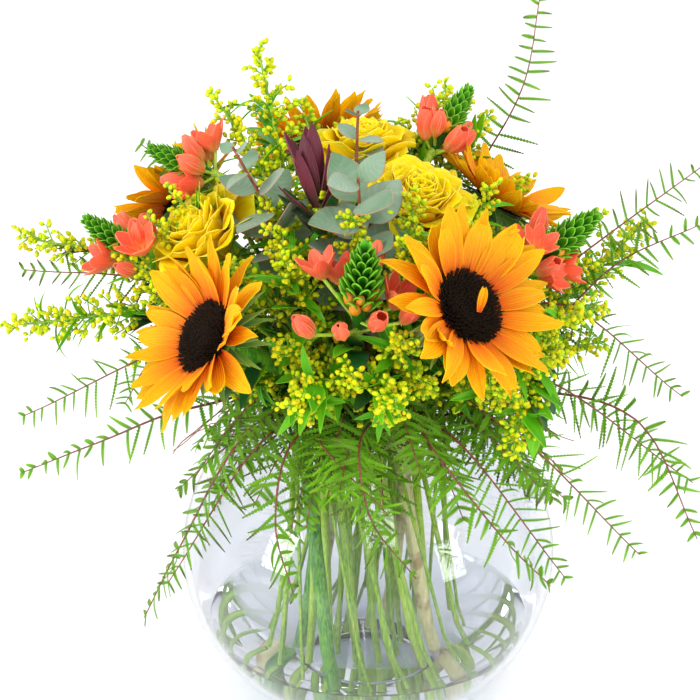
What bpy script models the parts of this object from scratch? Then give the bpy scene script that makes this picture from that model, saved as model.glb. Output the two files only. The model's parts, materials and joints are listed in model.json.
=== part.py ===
"""A hand-tied bunch of sunflowers standing in a clear glass bubble bowl of water.

Metres, +Z up. The bowl's foot stands on z = 0 with its centre at the origin, and -Y is the front.
Every stem runs straight through the bowl's mouth in a loose spiral, down to the bowl's floor.
Above the mouth each stem bends away along its own route, as the heads of a bunch fan out.
"""

import math
from dataclasses import dataclass

import bmesh
import bpy
from mathutils import Vector

# Bowl: an oblate bubble of glass, cut flat at the foot and open at the mouth.
BOWL_RADIUS = 0.120
BOWL_HALF_HEIGHT = 0.112
FOOT_RADIUS = 0.040
MOUTH_RADIUS = 0.065
GLASS_WALL = 0.0035
FLOOR_THICKNESS = 0.005
BOWL_SIDES = 40
WATER_LEVEL = 0.060

# Clearances between pieces that touch on the real thing.
SEAT_GAP = 0.0003
STEM_HOLE_GAP = 0.0004
RIM_CLEARANCE = 0.014
HOLE_SIDES = 6
HOLE_OVERRUN = 0.004

# Bunch: the narrowest place of the stems, and how they twist and spread below it.
COLLAR_RISE = 0.005
STEM_TWIST = 5.6
CENTRE_SLOTS = 9
MIDDLE_SLOTS = 13
CENTRE_RING_SHARE = 0.33
MIDDLE_RING_SHARE = 0.66
ROUTE_STEPS = 6
SPRAY_STEPS = 7

# The routes below suit rays of this reach, and they open out or close up with the rays that are set.
ROUTE_RAY_REACH = 0.054

# Stems.
SUNFLOWER_STEM = 0.0045
ROSE_STEM = 0.0030
ORNITHOGALUM_STEM = 0.0027
GOLDENROD_STEM = 0.0019
EUCALYPTUS_STEM = 0.0018
LEUCADENDRON_STEM = 0.0024
FERN_STEM = 0.0012
NECK_LENGTH = 0.005

# Sunflower head, at size 1.
RAY_REACH = 0.054
RAY_COUNT = 22
RAY_THICKNESS = 0.0016
RAY_RISE = 0.012
RAY_NOTCH = 0.80
DISC_RADIUS = 0.0213
DISC_SEAT = 0.022
DISC_HEIGHT = 0.008
DISC_SIDES = 16
CALYX_RADIUS = 0.023
CALYX_HEIGHT = 0.013
RAY_TROUGH_START = 0.5

# Rose bloom, at size 1.
ROSE_RADIUS = 0.029
ROSE_HEIGHT = 0.040
ROSE_LOBES = 5

# Star-of-Bethlehem raceme, at size 1.
RACEME_RADIUS = 0.017
RACEME_HEIGHT = 0.026
RACEME_NECK = 1.5
RACEME_NECK_SHARE = 0.1
RACEME_SIDES = 10
SPIKE_RADIUS = 0.008
SPIKE_HEIGHT = 0.030

# Sprays, sprigs and fronds.
PLUME_RADIUS = 0.0095
PLUME_LENGTH = 0.085
LEAF_RADIUS = 0.013
LEAF_THICKNESS = 0.0012
LEAF_SPACING = 0.019
LEAF_COUNT = 6
LEAF_SIDES = 10
LEAF_REACH = 0.92
CONE_RADIUS = 0.015
CONE_LENGTH = 0.062
SWELL_POWER = 0.7
TIP_SHARE = 0.6
PINNA_LENGTH = 0.017
PINNA_SPACING = 0.0075
PINNA_RAKE = 0.30
PINNA_FIRST_TURN = 0.25
PINNA_LAST_TURN = 0.87

# Outlines, as (share of the radius, share of the height) from the bottom up.
CALYX_OUTLINE = ((0.62, 0.35), (0.95, 0.75), (1.0, 1.0))
DISC_OUTLINE = ((0.0, 0.0), (0.94, 0.0), (1.0, 0.4), (0.72, 0.9), (0.0, 1.0))
ROSE_OUTLINE = ((0.0, 0.0), (0.35, 0.0), (0.85, 0.25), (1.0, 0.6), (0.88, 0.9), (0.55, 1.0), (0.0, 0.88))
RACEME_OUTLINE = ((0.8, 0.35), (1.0, 0.65))
SPIKE_OUTLINE = ((1.2, 0.0), (1.0, 0.4), (0.5, 0.85), (0.0, 1.0))
ROSE_LOBE_DEPTH = 0.05


@dataclass(frozen=True)
class Plant:
    """One plant of the bunch.

    Its route is given from the collar's centre, and ends at its head. The head looks along facing.
    """

    name: str
    kind: str
    route: tuple
    facing: tuple = (0.0, 0.0, 1.0)
    size: float = 1.0


PLANTS = (
    Plant("sunflower_left", "sunflower", ((-0.092, -0.091, 0.080),), (-0.75, -0.42, 0.51), 0.97),
    Plant("sunflower_right", "sunflower", ((0.053, -0.095, 0.099),), (0.57, -0.59, 0.57)),
    Plant("sunflower_back_right", "sunflower", ((0.082, 0.034, 0.124),), (0.50, 0.00, 0.86), 0.85),
    Plant("sunflower_back_left", "sunflower", ((-0.118, 0.066, 0.117),), (-0.66, 0.37, 0.65), 0.87),
    Plant("sunflower_back", "sunflower", ((-0.032, 0.094, 0.145),), (-0.18, 0.55, 0.81), 0.87),
    Plant("rose_left", "rose", ((-0.102, -0.014, 0.118),), (-0.60, -0.25, 0.76)),
    Plant("rose_right", "rose", ((0.029, -0.018, 0.139),), (0.20, -0.40, 0.89)),
    Plant("rose_back", "rose", ((-0.004, 0.036, 0.158),), (0.00, -0.05, 1.00), 0.93),
    Plant("ornithogalum_centre", "ornithogalum", ((-0.006, -0.098, 0.102),), (0.06, -0.40, 0.91), 1.15),
    Plant("ornithogalum_right", "ornithogalum", ((0.106, -0.024, 0.109),), (0.75, -0.05, 0.66)),
    Plant("ornithogalum_left", "ornithogalum", ((-0.146, -0.012, 0.108),), (-0.75, -0.15, 0.64), 0.85),
    Plant("ornithogalum_back_left", "ornithogalum", ((-0.106, 0.014, 0.152),), (-0.90, 0.05, 0.35), 0.80),
    Plant("ornithogalum_back_right", "ornithogalum", ((0.046, 0.042, 0.166),), (0.50, 0.20, 0.84), 0.85),
    Plant("goldenrod_front_left", "goldenrod", ((-0.022, -0.080, 0.052), (-0.045, -0.138, 0.056))),
    Plant("goldenrod_front_right", "goldenrod", ((0.004, -0.085, 0.048), (0.014, -0.145, 0.060))),
    Plant("goldenrod_middle", "goldenrod", ((-0.036, -0.060, 0.082), (-0.050, -0.084, 0.128))),
    Plant("goldenrod_over_rose", "goldenrod", ((0.029, -0.056, 0.098), (0.022, -0.064, 0.158))),
    Plant("goldenrod_right_low", "goldenrod", ((0.094, -0.040, 0.050), (0.082, -0.106, 0.014))),
    Plant("goldenrod_left_high", "goldenrod", ((-0.120, 0.020, 0.080), (-0.216, 0.014, 0.108))),
    Plant("goldenrod_left_low", "goldenrod", ((-0.120, -0.020, 0.066), (-0.219, -0.026, 0.064))),
    Plant("goldenrod_top_left", "goldenrod", ((-0.046, 0.026, 0.120), (-0.067, 0.026, 0.222))),
    Plant("goldenrod_top_right", "goldenrod", ((0.024, 0.070, 0.130), (0.050, 0.086, 0.186))),
    Plant("goldenrod_right", "goldenrod", ((0.118, 0.026, 0.058), (0.173, 0.022, 0.116))),
    Plant("goldenrod_back_right", "goldenrod", ((0.070, 0.092, 0.070), (0.112, 0.118, 0.096))),
    Plant("goldenrod_back_left", "goldenrod", ((-0.074, 0.096, 0.048), (-0.128, 0.124, 0.052))),
    Plant("eucalyptus_front", "eucalyptus", ((-0.008, -0.079, 0.170),), (0.0, -1.0, 0.2)),
    Plant("eucalyptus_left", "eucalyptus", ((-0.080, -0.042, 0.178),), (0.0, -1.0, 0.3), 0.85),
    Plant("eucalyptus_top", "eucalyptus", ((-0.006, 0.000, 0.190),), (0.0, -1.0, 0.2), 0.45),
    Plant("eucalyptus_back", "eucalyptus", ((0.010, 0.128, 0.084),), (0.0, 1.0, 0.4), 0.9),
    Plant("leucadendron", "leucadendron", ((-0.028, -0.044, 0.130), (-0.038, -0.030, 0.192))),
    Plant("fern_top_right", "fern",
          ((0.060, 0.100, 0.100), (0.098, 0.092, 0.180), (0.108, 0.088, 0.244)), (0.0, -1.0, 0.3), 1.25),
    Plant("fern_right", "fern",
          ((0.106, 0.008, 0.044), (0.152, 0.006, 0.092), (0.200, 0.000, 0.119)), (0.0, -0.6, 0.8)),
    Plant("fern_right_low", "fern",
          ((0.106, -0.010, 0.014), (0.163, -0.050, 0.010), (0.199, -0.070, -0.058)), (0.5, -0.6, 0.6)),
    Plant("fern_front_right", "fern",
          ((0.032, -0.090, 0.018), (0.073, -0.135, -0.022), (0.104, -0.130, -0.058)), (0.4, -0.8, 0.4)),
    Plant("fern_front", "fern",
          ((-0.006, -0.100, 0.020), (0.000, -0.140, -0.010), (0.026, -0.140, -0.048)), (0.0, -1.0, 0.2)),
    Plant("fern_front_left", "fern",
          ((-0.046, -0.096, 0.016), (-0.054, -0.134, -0.016), (-0.044, -0.134, -0.062)), (0.0, -1.0, 0.2)),
    Plant("fern_left_low", "fern",
          ((-0.074, -0.076, 0.012), (-0.112, -0.100, -0.048), (-0.136, -0.092, -0.100)), (-0.6, -0.7, 0.3)),
    Plant("fern_left", "fern",
          ((-0.106, -0.040, 0.016), (-0.162, -0.050, -0.002), (-0.210, -0.056, -0.020)), (-0.2, -0.4, 0.9)),
    Plant("fern_back_left", "fern",
          ((-0.090, 0.070, 0.018), (-0.140, 0.104, 0.000), (-0.170, 0.124, -0.050)), (-0.6, 0.6, 0.6)),
    Plant("fern_back_right", "fern",
          ((0.040, 0.112, 0.022), (0.068, 0.146, -0.010), (0.084, 0.150, -0.070)), (0.3, 0.9, 0.3)),
)

MATERIALS = {
    "clear_glass": ((0.86, 0.88, 0.93), 0.05, 0.35),
    "water": ((0.80, 0.86, 0.90), 0.05, 0.30),
    "sunflower_petal": ((0.98, 0.45, 0.01), 0.55, 1.0),
    "sunflower_disc": ((0.035, 0.015, 0.006), 0.90, 1.0),
    "sunflower_stem": ((0.09, 0.32, 0.03), 0.60, 1.0),
    "rose_petal": ((0.98, 0.68, 0.01), 0.55, 1.0),
    "rose_stem": ((0.06, 0.22, 0.03), 0.55, 1.0),
    "ornithogalum_flower": ((0.96, 0.20, 0.08), 0.50, 1.0),
    "ornithogalum_stem": ((0.18, 0.46, 0.05), 0.50, 1.0),
    "goldenrod_spray": ((0.42, 0.62, 0.03), 0.65, 1.0),
    "eucalyptus_sprig": ((0.38, 0.50, 0.40), 0.60, 1.0),
    "leucadendron_leaf": ((0.20, 0.02, 0.04), 0.50, 1.0),
    "fern_frond": ((0.10, 0.42, 0.02), 0.60, 1.0),
}

STEM_RADIUS = {
    "sunflower": SUNFLOWER_STEM,
    "rose": ROSE_STEM,
    "ornithogalum": ORNITHOGALUM_STEM,
    "goldenrod": GOLDENROD_STEM,
    "eucalyptus": EUCALYPTUS_STEM,
    "leucadendron": LEUCADENDRON_STEM,
    "fern": FERN_STEM,
}


def clear_scene():
    """Remove every object that the file opened with."""
    for old in list(bpy.data.objects):
        bpy.data.objects.remove(old, do_unlink=True)


def material(name):
    """The Principled material of this name, made on first use."""
    found = bpy.data.materials.get(name)
    if found:
        return found
    colour, roughness, alpha = MATERIALS[name]
    made = bpy.data.materials.new(name)
    made.use_nodes = True
    shader = made.node_tree.nodes["Principled BSDF"]
    shader.inputs["Base Color"].default_value = (*colour, 1.0)
    shader.inputs["Roughness"].default_value = roughness
    shader.inputs["Metallic"].default_value = 0.0
    shader.inputs["Alpha"].default_value = alpha
    return made


def finish(name, bm, material_name):
    """Close a bmesh up, face it outwards and put it in the scene as an object."""
    bmesh.ops.remove_doubles(bm, verts=bm.verts, dist=1e-6)
    bmesh.ops.recalc_face_normals(bm, faces=bm.faces)
    mesh = bpy.data.meshes.new(name)
    bm.to_mesh(mesh)
    bm.free()
    mesh.shade_smooth()
    mesh.set_sharp_from_angle(angle=math.radians(40))
    made = bpy.data.objects.new(name, mesh)
    made.data.materials.append(material(material_name))
    bpy.context.scene.collection.objects.link(made)
    return made


# ---------------------------------------------------------------- bowl and water

def bowl_centre():
    """Height of the bubble's centre, set by where the foot cuts it."""
    return BOWL_HALF_HEIGHT * math.sqrt(1 - (FOOT_RADIUS / BOWL_RADIUS) ** 2)


def mouth_height():
    """Height of the rim, set by where the mouth cuts the bubble."""
    return bowl_centre() + BOWL_HALF_HEIGHT * math.sqrt(1 - (MOUTH_RADIUS / BOWL_RADIUS) ** 2)


def bubble_radius(height, wall):
    """Radius of the bubble at this height, this far inside the outer skin."""
    share = (height - bowl_centre()) / (BOWL_HALF_HEIGHT - wall)
    return (BOWL_RADIUS - wall) * math.sqrt(max(0.0, 1 - share * share))


def levels(low, high, count):
    """Heights from low to high, closest together where the bubble curves in most."""
    lowest = math.asin((low - bowl_centre()) / BOWL_HALF_HEIGHT)
    highest = math.asin((high - bowl_centre()) / BOWL_HALF_HEIGHT)
    steps = [lowest + (highest - lowest) * i / (count - 1) for i in range(count)]
    return [bowl_centre() + BOWL_HALF_HEIGHT * math.sin(step) for step in steps]


def inside_levels():
    """Heights of the inner wall's rings, one of them at the water's surface."""
    wet = levels(FLOOR_THICKNESS, WATER_LEVEL, 6)
    return wet + levels(WATER_LEVEL, mouth_height(), 7)[1:]


def wet_profile(gap):
    """The water's outline, this far inside the glass, from the floor to the surface."""
    heights = levels(FLOOR_THICKNESS, WATER_LEVEL, 6)
    radii = [bubble_radius(height, GLASS_WALL) - gap for height in heights]
    heights[0] += gap
    return list(zip(radii, heights))


def turned(profile, sides):
    """A bmesh turned about Z from (radius, height) points."""
    bm = bmesh.new()
    ring = [bm.verts.new((radius, 0.0, height)) for radius, height in profile]
    edges = [bm.edges.new(pair) for pair in zip(ring, ring[1:])]
    bmesh.ops.spin(bm, geom=ring + edges, cent=(0, 0, 0), axis=(0, 0, 1), angle=math.tau, steps=sides)
    bmesh.ops.remove_doubles(bm, verts=bm.verts, dist=1e-6)
    return bm


def make_bowl():
    """The glass: outer skin up to the mouth, round the rim, inner wall down to the floor."""
    outside = [(bubble_radius(height, 0.0), height) for height in levels(0.0, mouth_height(), 11)]
    inside = [(bubble_radius(height, GLASS_WALL), height) for height in inside_levels()]
    rim = ((outside[-1][0] + inside[-1][0]) / 2, mouth_height() + GLASS_WALL / 2)
    profile = [(0.0, 0.0)] + outside + [rim] + inside[::-1] + [(0.0, FLOOR_THICKNESS)]
    return finish("vase", turned(profile, BOWL_SIDES), "clear_glass")


def make_water(stems):
    """The water, with a hole for every stem that stands in it."""
    wet = wet_profile(SEAT_GAP)
    profile = [(0.0, wet[0][1])] + wet + [(0.0, WATER_LEVEL)]
    water = finish("water", turned(profile, BOWL_SIDES), "water")
    cutter = make_stem_cutter(stems)
    cut = water.modifiers.new("stem_holes", "BOOLEAN")
    cut.operation = "DIFFERENCE"
    cut.solver = "EXACT"
    cut.object = cutter
    return water


def make_stem_cutter(stems):
    """One hidden mesh of straight prisms, a little fatter than the stems."""
    bm = bmesh.new()
    for stem in stems:
        top = stem.line(WATER_LEVEL + HOLE_OVERRUN)
        low = stem.line(0.0)
        reach = (stem.girth + STEM_HOLE_GAP) / math.cos(math.pi / HOLE_SIDES)
        ring = polygon_ring(reach, HOLE_SIDES, stem.up())
        loft(bm, [[low + corner for corner in ring], [top + corner for corner in ring]])
    cutter = finish("stem_cutter", bm, "water")
    cutter.hide_render = True
    cutter.display_type = "WIRE"
    return cutter


# ---------------------------------------------------------------- tubes

def polygon_ring(radius, sides, axis):
    """Corners of a polygon round an axis, with its first corner as near +X as it goes."""
    across = (Vector((1, 0, 0)) - axis * axis.x).normalized()
    other = axis.cross(across)
    turns = [math.tau * i / sides for i in range(sides)]
    return [radius * (math.cos(turn) * across + math.sin(turn) * other) for turn in turns]


def loft(bm, rings):
    """Join rings of corners into a closed tube with flat ends."""
    rows = [[bm.verts.new(corner) for corner in ring] for ring in rings]
    for low, high in zip(rows, rows[1:]):
        for i in range(len(low)):
            j = (i + 1) % len(low)
            bm.faces.new((low[i], low[j], high[j], high[i]))
    bm.faces.new(rows[0][::-1])
    bm.faces.new(rows[-1])
    return rows


def tangents(points):
    """Unit direction of a path at each of its points."""
    ends = [points[0]] + points + [points[-1]]
    return [(ends[i + 2] - ends[i]).normalized() for i in range(len(points))]


def carried_rings(points, radii, sides):
    """Rings square to a path, turned along it without twist."""
    ways = tangents(points)
    across = (Vector((1, 0, 0)) - ways[0] * ways[0].x).normalized()
    rings = []
    for point, way, radius in zip(points, ways, radii):
        across = (across - way * across.dot(way)).normalized()
        other = way.cross(across)
        turns = [math.tau * i / sides for i in range(sides)]
        rings.append([point + radius * (math.cos(a) * across + math.sin(a) * other) for a in turns])
    return rings


def tube(points, radii, sides):
    """A bmesh tube along a path."""
    bm = bmesh.new()
    loft(bm, carried_rings(points, radii, sides))
    return bm


def smooth_path(knots, first_way, last_way, steps):
    """Points of a smooth curve through knots, leaving and arriving in the given directions."""
    ways = [first_way] + [(knots[i + 1] - knots[i - 1]) / 2 for i in range(1, len(knots) - 1)] + [last_way]
    points = [knots[0]]
    for i in range(len(knots) - 1):
        start, end = knots[i], knots[i + 1]
        for step in range(1, steps + 1):
            t = step / steps
            points.append(
                start * (2 * t**3 - 3 * t**2 + 1) + ways[i] * (t**3 - 2 * t**2 + t)
                + end * (3 * t**2 - 2 * t**3) + ways[i + 1] * (t**3 - t**2)
            )
    return points


def respaced(points, spacing):
    """The same path with points at an even spacing."""
    lengths = [(b - a).length for a, b in zip(points, points[1:])]
    count = max(2, round(sum(lengths) / spacing))
    even, walked, i = [points[0]], 0.0, 0
    for step in range(1, count):
        target = sum(lengths) * step / count
        while walked + lengths[i] < target:
            walked += lengths[i]
            i += 1
        even.append(points[i].lerp(points[i + 1], (target - walked) / lengths[i]))
    return even + [points[-1]]


# ---------------------------------------------------------------- the bunch

class Stem:
    """One stem's place in the bunch: straight in the bowl, curved above the collar."""

    def __init__(self, plant, slot):
        self.plant = plant
        self.slot = slot
        self.radius = STEM_RADIUS[plant.kind]
        self.sides = 8 if plant.kind == "sunflower" else 6
        square = plant.kind == "fern"
        self.girth = self.radius * (math.sqrt(2) if square else 1)

    def line(self, height):
        """Where the straight part's axis is at this height."""
        drop = collar_height() - height
        x, y = self.slot
        turn = drop * STEM_TWIST
        return Vector((x - turn * y, y + turn * x, height))

    def up(self):
        """Direction of the straight part, upwards."""
        return (self.line(collar_height()) - self.line(0.0)).normalized()

    def foot(self):
        """The lowest place of the axis where the stem's flat end clears the glass."""
        ring = polygon_ring(self.girth, self.sides, self.up())
        low, high = FLOOR_THICKNESS, WATER_LEVEL
        while high - low > 1e-6:
            middle = (low + high) / 2
            corners = [self.line(middle) + corner for corner in ring]
            clear = all(clears_glass(corner) for corner in corners)
            low, high = (low, middle) if clear else (middle, high)
        return self.line(high)

    def collar(self):
        """Where the stem passes the collar."""
        return self.line(collar_height())

    def path(self, end, end_way, steps=ROUTE_STEPS):
        """The whole stem from its foot to its end, through its route."""
        middle = [from_collar(point) for point in self.plant.route[:-1]]
        knots = [self.collar()] + middle + [end]
        first = self.up() * (knots[1] - knots[0]).length
        last = end_way.normalized() * (knots[-1] - knots[-2]).length
        return [self.foot()] + smooth_path(knots, first, last, steps)


def collar_height():
    """Height of the bunch's narrowest place, just above the rim."""
    return mouth_height() + COLLAR_RISE


def from_collar(offset):
    """A place given from the collar's centre, opened out to suit the rays."""
    return Vector(offset) * (RAY_REACH / ROUTE_RAY_REACH) + Vector((0, 0, collar_height()))


def clears_glass(corner):
    """Whether a corner stays inside the flat-sided inner wall by the seat gap."""
    facet = math.cos(math.pi / BOWL_SIDES)
    wall = wet_profile(SEAT_GAP)
    if corner.z < wall[0][1]:
        return False
    for (near, low), (far, high) in zip(wall, wall[1:]):
        if low <= corner.z <= high:
            radius = near + (far - near) * (corner.z - low) / (high - low)
            return math.hypot(corner.x, corner.y) <= radius * facet - SEAT_GAP / 4
    return True


def lean_of(plant):
    """How far a plant's head lies from straight up."""
    return Vector(plant.route[-1]).angle(Vector((0, 0, 1)))


def bearing_of(plant):
    """Which way round the bunch a plant's route sets out."""
    x, y, _ = plant.route[0]
    return math.atan2(y, x)


def ring_slots(plants, radius):
    """Even places round one ring, each plant as near as its order allows to its own bearing."""
    ordered = sorted(plants, key=bearing_of)
    step = math.tau / len(ordered)
    offsets = [bearing_of(plant) - i * step for i, plant in enumerate(ordered)]
    phase = math.atan2(sum(map(math.sin, offsets)), sum(map(math.cos, offsets)))
    turns = [phase + i * step for i in range(len(ordered))]
    places = [(radius * math.cos(turn), radius * math.sin(turn)) for turn in turns]
    return [Stem(plant, place) for plant, place in zip(ordered, places)]


def gather_stems():
    """All stems, the steepest in the centre and the lowest heads on the outer ring."""
    outer = MOUTH_RADIUS - RIM_CLEARANCE - SUNFLOWER_STEM
    ordered = sorted(PLANTS, key=lean_of)
    middle_end = CENTRE_SLOTS + MIDDLE_SLOTS
    stems = ring_slots(ordered[:CENTRE_SLOTS], outer * CENTRE_RING_SHARE)
    stems += ring_slots(ordered[CENTRE_SLOTS:middle_end], outer * MIDDLE_RING_SHARE)
    stems += ring_slots(ordered[middle_end:], outer)
    return stems


def stand_on(made, base, facing):
    """Put a head that was made along +Z at its place, facing its way."""
    made.location = base
    made.rotation_mode = "QUATERNION"
    made.rotation_quaternion = Vector(facing).to_track_quat("Z", "Y")


# ---------------------------------------------------------------- heads

def scaled(outline, radius, height):
    """An outline of shares at its real radius and height."""
    return [(radius * wide, height * high) for wide, high in outline]


def make_sunflower(stem):
    """Stem with its green cup, the ring of rays, and the seed disc on them."""
    plant, size = stem.plant, stem.plant.size
    facing = Vector(plant.facing).normalized()
    cup_top = from_collar(plant.route[-1]) - facing * (RAY_THICKNESS + SEAT_GAP)
    cup_base = cup_top - facing * CALYX_HEIGHT * size
    points = stem.path(cup_base, facing)
    radii = [stem.radius] * len(points)
    for wide, high in CALYX_OUTLINE:
        points.append(cup_base.lerp(cup_top, high))
        radii.append(CALYX_RADIUS * size * wide)
    finish(plant.name + "_stem", tube(points, radii, stem.sides), "sunflower_stem")

    rays = make_rays(plant.name + "_rays", size)
    stand_on(rays, cup_top + facing * SEAT_GAP, facing)
    disc = make_disc(plant.name + "_disc", size)
    stand_on(disc, cup_top + facing * (RAY_THICKNESS + 2 * SEAT_GAP), facing)


def make_rays(name, size):
    """A dished plate with one point for every ray, notched between them."""
    inner, reach = DISC_SEAT * size, RAY_REACH * size
    rise = RAY_RISE * size
    profile = [(0.0, 0.0), (inner, 0.0), (reach, rise), (reach, rise + RAY_THICKNESS / 2),
               (inner, RAY_THICKNESS), (0.0, RAY_THICKNESS)]
    bm = turned(profile, 2 * RAY_COUNT)
    for vert in bm.verts:
        column = round(math.atan2(vert.co.y, vert.co.x) / (math.pi / RAY_COUNT))
        if column % 2 and vert.co.xy.length > inner + (reach - inner) * RAY_TROUGH_START:
            vert.co.x *= RAY_NOTCH
            vert.co.y *= RAY_NOTCH
            vert.co.z -= rise * (1 - RAY_NOTCH)
    return finish(name, bm, "sunflower_petal")


def make_disc(name, size):
    """The domed seed disc."""
    profile = scaled(DISC_OUTLINE, DISC_RADIUS * size, DISC_HEIGHT * size)
    return finish(name, turned(profile, DISC_SIDES), "sunflower_disc")


def make_rose(stem):
    """A cupped bloom on its stem."""
    plant, size = stem.plant, stem.plant.size
    facing = Vector(plant.facing).normalized()
    base = from_collar(plant.route[-1]) - facing * ROSE_HEIGHT * size * 0.5
    points = stem.path(base - facing * NECK_LENGTH, facing) + [base - facing * SEAT_GAP]
    finish(plant.name + "_stem", tube(points, [stem.radius] * len(points), stem.sides), "rose_stem")

    profile = scaled(ROSE_OUTLINE, ROSE_RADIUS * size, ROSE_HEIGHT * size)
    bm = turned(profile, 3 * ROSE_LOBES)
    for vert in bm.verts:
        bulge = 1 + ROSE_LOBE_DEPTH * math.cos(ROSE_LOBES * math.atan2(vert.co.y, vert.co.x))
        vert.co.x *= bulge
        vert.co.y *= bulge
    stand_on(finish(plant.name + "_bloom", bm, "rose_petal"), base, facing)


def make_ornithogalum(stem):
    """A raceme: open cups low down, and a spike of green buds above them."""
    plant, size = stem.plant, stem.plant.size
    facing = Vector(plant.facing).normalized()
    base = from_collar(plant.route[-1]) - facing * RACEME_HEIGHT * size * 0.5
    points = stem.path(base - facing * NECK_LENGTH, facing) + [base - facing * SEAT_GAP]
    radii = [stem.radius] * len(points)
    finish(plant.name + "_stem", tube(points, radii, stem.sides), "ornithogalum_stem")

    neck, tall = stem.radius * RACEME_NECK, RACEME_HEIGHT * size
    profile = [(0.0, 0.0), (neck, 0.0), (neck, tall * RACEME_NECK_SHARE)]
    profile += scaled(RACEME_OUTLINE, RACEME_RADIUS * size, tall)
    for wide, high in scaled(SPIKE_OUTLINE, SPIKE_RADIUS * size, SPIKE_HEIGHT * size):
        profile.append((wide, tall + high))
    bm = turned(profile, RACEME_SIDES)
    stand_on(finish(plant.name + "_raceme", bm, "ornithogalum_flower"), base, facing)


def swelling(points, thin, fat, length):
    """Radii that stay thin, swell at once where the plume starts, and taper over its second half."""
    left = [0.0]
    for a, b in zip(points[::-1], points[-2::-1]):
        left.append(left[-1] + (b - a).length)
    radii = []
    for remaining in reversed(left):
        share = max(0.0, 1 - remaining / length)
        swell = math.sin(math.pi * share**SWELL_POWER) if share < 0.5 else 2 * (1 - share)
        radii.append(max(thin, fat * swell))
    radii[-1] = thin * TIP_SHARE
    return radii


def last_way(plant):
    """Direction in which a route runs out."""
    before = Vector(plant.route[-2]) if len(plant.route) > 1 else Vector((0, 0, 0))
    return Vector(plant.route[-1]) - before


def make_goldenrod(stem):
    """One spray: a wiry stem that swells into its plume."""
    plant = stem.plant
    points = stem.path(from_collar(plant.route[-1]), last_way(plant), SPRAY_STEPS)
    radii = swelling(points, stem.radius, PLUME_RADIUS * plant.size, PLUME_LENGTH)
    finish(plant.name, tube(points, radii, stem.sides), "goldenrod_spray")


def make_leucadendron(stem):
    """A stem with its upright leaves closed into a cone."""
    plant = stem.plant
    points = stem.path(from_collar(plant.route[-1]), last_way(plant), SPRAY_STEPS)
    radii = swelling(points, stem.radius, CONE_RADIUS * plant.size, CONE_LENGTH)
    finish(plant.name, tube(points, radii, 8), "leucadendron_leaf")


def make_eucalyptus(stem):
    """A sprig: round leaves set alternately to the left and right of the stem."""
    plant, size = stem.plant, stem.plant.size
    points = stem.path(from_collar(plant.route[-1]), last_way(plant))
    points = points[:1] + respaced(points[1:], LEAF_SPACING)
    sprig = finish(plant.name, tube(points, [stem.radius] * len(points), stem.sides), "eucalyptus_sprig")
    ways = tangents(points)
    leaves = bmesh.new()
    for i in range(LEAF_COUNT):
        index = -2 - i
        if -index >= len(points) - 2:
            break
        add_leaf(leaves, points[index], ways[index], Vector(plant.facing), LEAF_RADIUS * size, i)
    blades = finish(plant.name + "_leaves", leaves, "eucalyptus_sprig")
    blades.hide_render = True
    blades.display_type = "WIRE"
    join = sprig.modifiers.new("leaves", "BOOLEAN")
    join.operation = "UNION"
    join.solver = "EXACT"
    join.object = blades
    return sprig


def add_leaf(bm, node, way, facing, radius, number):
    """One flat round leaf that starts at its node on the stem, left and right by turns."""
    side = way.cross(facing).normalized() * (1 if number % 2 else -1)
    flat = side.cross(way).normalized()
    centre = node + side * radius * LEAF_REACH
    corners = []
    for i in range(LEAF_SIDES):
        turn = math.tau * (i + 0.5) / LEAF_SIDES
        corners.append(centre + radius * (math.cos(turn) * side + math.sin(turn) * way))
    half = flat * LEAF_THICKNESS / 2
    loft(bm, [[corner - half for corner in corners], [corner + half for corner in corners]])


def make_fern(stem):
    """A frond: a wiry stem, and a row of tapering leaflets on each side of its end."""
    plant = stem.plant
    path = stem.path(from_collar(plant.route[-1]), last_way(plant))
    split = 1 + ROUTE_STEPS
    lower, upper = path[:split], respaced(path[split - 1:], PINNA_SPACING)
    points = lower[:-1] + upper
    ways = tangents(points)
    facing = Vector(plant.facing).normalized()
    rings = []
    for point, way in zip(points, ways):
        side = way.cross(facing).normalized() * stem.radius
        over = side.cross(way).normalized() * stem.radius
        rings.append([point + side + over, point - side + over, point - side - over, point + side - over])
    bm = bmesh.new()
    rows = loft(bm, rings)
    first = len(lower) + 1
    for i in range(first, len(points) - 1, 2):
        share = (i - first) / (len(points) - first)
        turn = PINNA_FIRST_TURN + (PINNA_LAST_TURN - PINNA_FIRST_TURN) * share
        length = PINNA_LENGTH * plant.size * math.sin(math.pi * turn)
        for a, b, sign in ((3, 0, 1), (1, 2, -1)):
            side = ways[i].cross(facing).normalized() * sign
            tip = length * (side + ways[i] * PINNA_RAKE).normalized()
            raise_leaflet(bm, [rows[i][a], rows[i][b], rows[i + 1][b], rows[i + 1][a]], tip)
    return finish(plant.name, bm, "fern_frond")


def raise_leaflet(bm, corners, tip):
    """Draw one side face of the frond's stem out into a leaflet."""
    face = bm.faces.get(corners)
    centre = bmesh.ops.poke(bm, faces=[face])["verts"][0]
    centre.co += tip


MAKERS = {
    "sunflower": make_sunflower,
    "rose": make_rose,
    "ornithogalum": make_ornithogalum,
    "goldenrod": make_goldenrod,
    "eucalyptus": make_eucalyptus,
    "leucadendron": make_leucadendron,
    "fern": make_fern,
}


def main():
    clear_scene()
    stems = gather_stems()
    make_bowl()
    make_water(stems)
    for stem in stems:
        MAKERS[stem.plant.kind](stem)


main()
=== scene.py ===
"""The looks of a hand-tied bunch of sunflowers standing in a clear glass bubble bowl.

Metres, +Z up, -Y is the front. Every stem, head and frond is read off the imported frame, and a finer
piece takes its place. Petals, leaves, buds and leaflets are each modelled once and copied, and
every copy is bent and coloured a little differently, the same way on each run.
"""

import functools
import json
import logging
import math
from collections.abc import Callable, Iterable, Sequence
from dataclasses import dataclass, field
from enum import Enum

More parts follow.
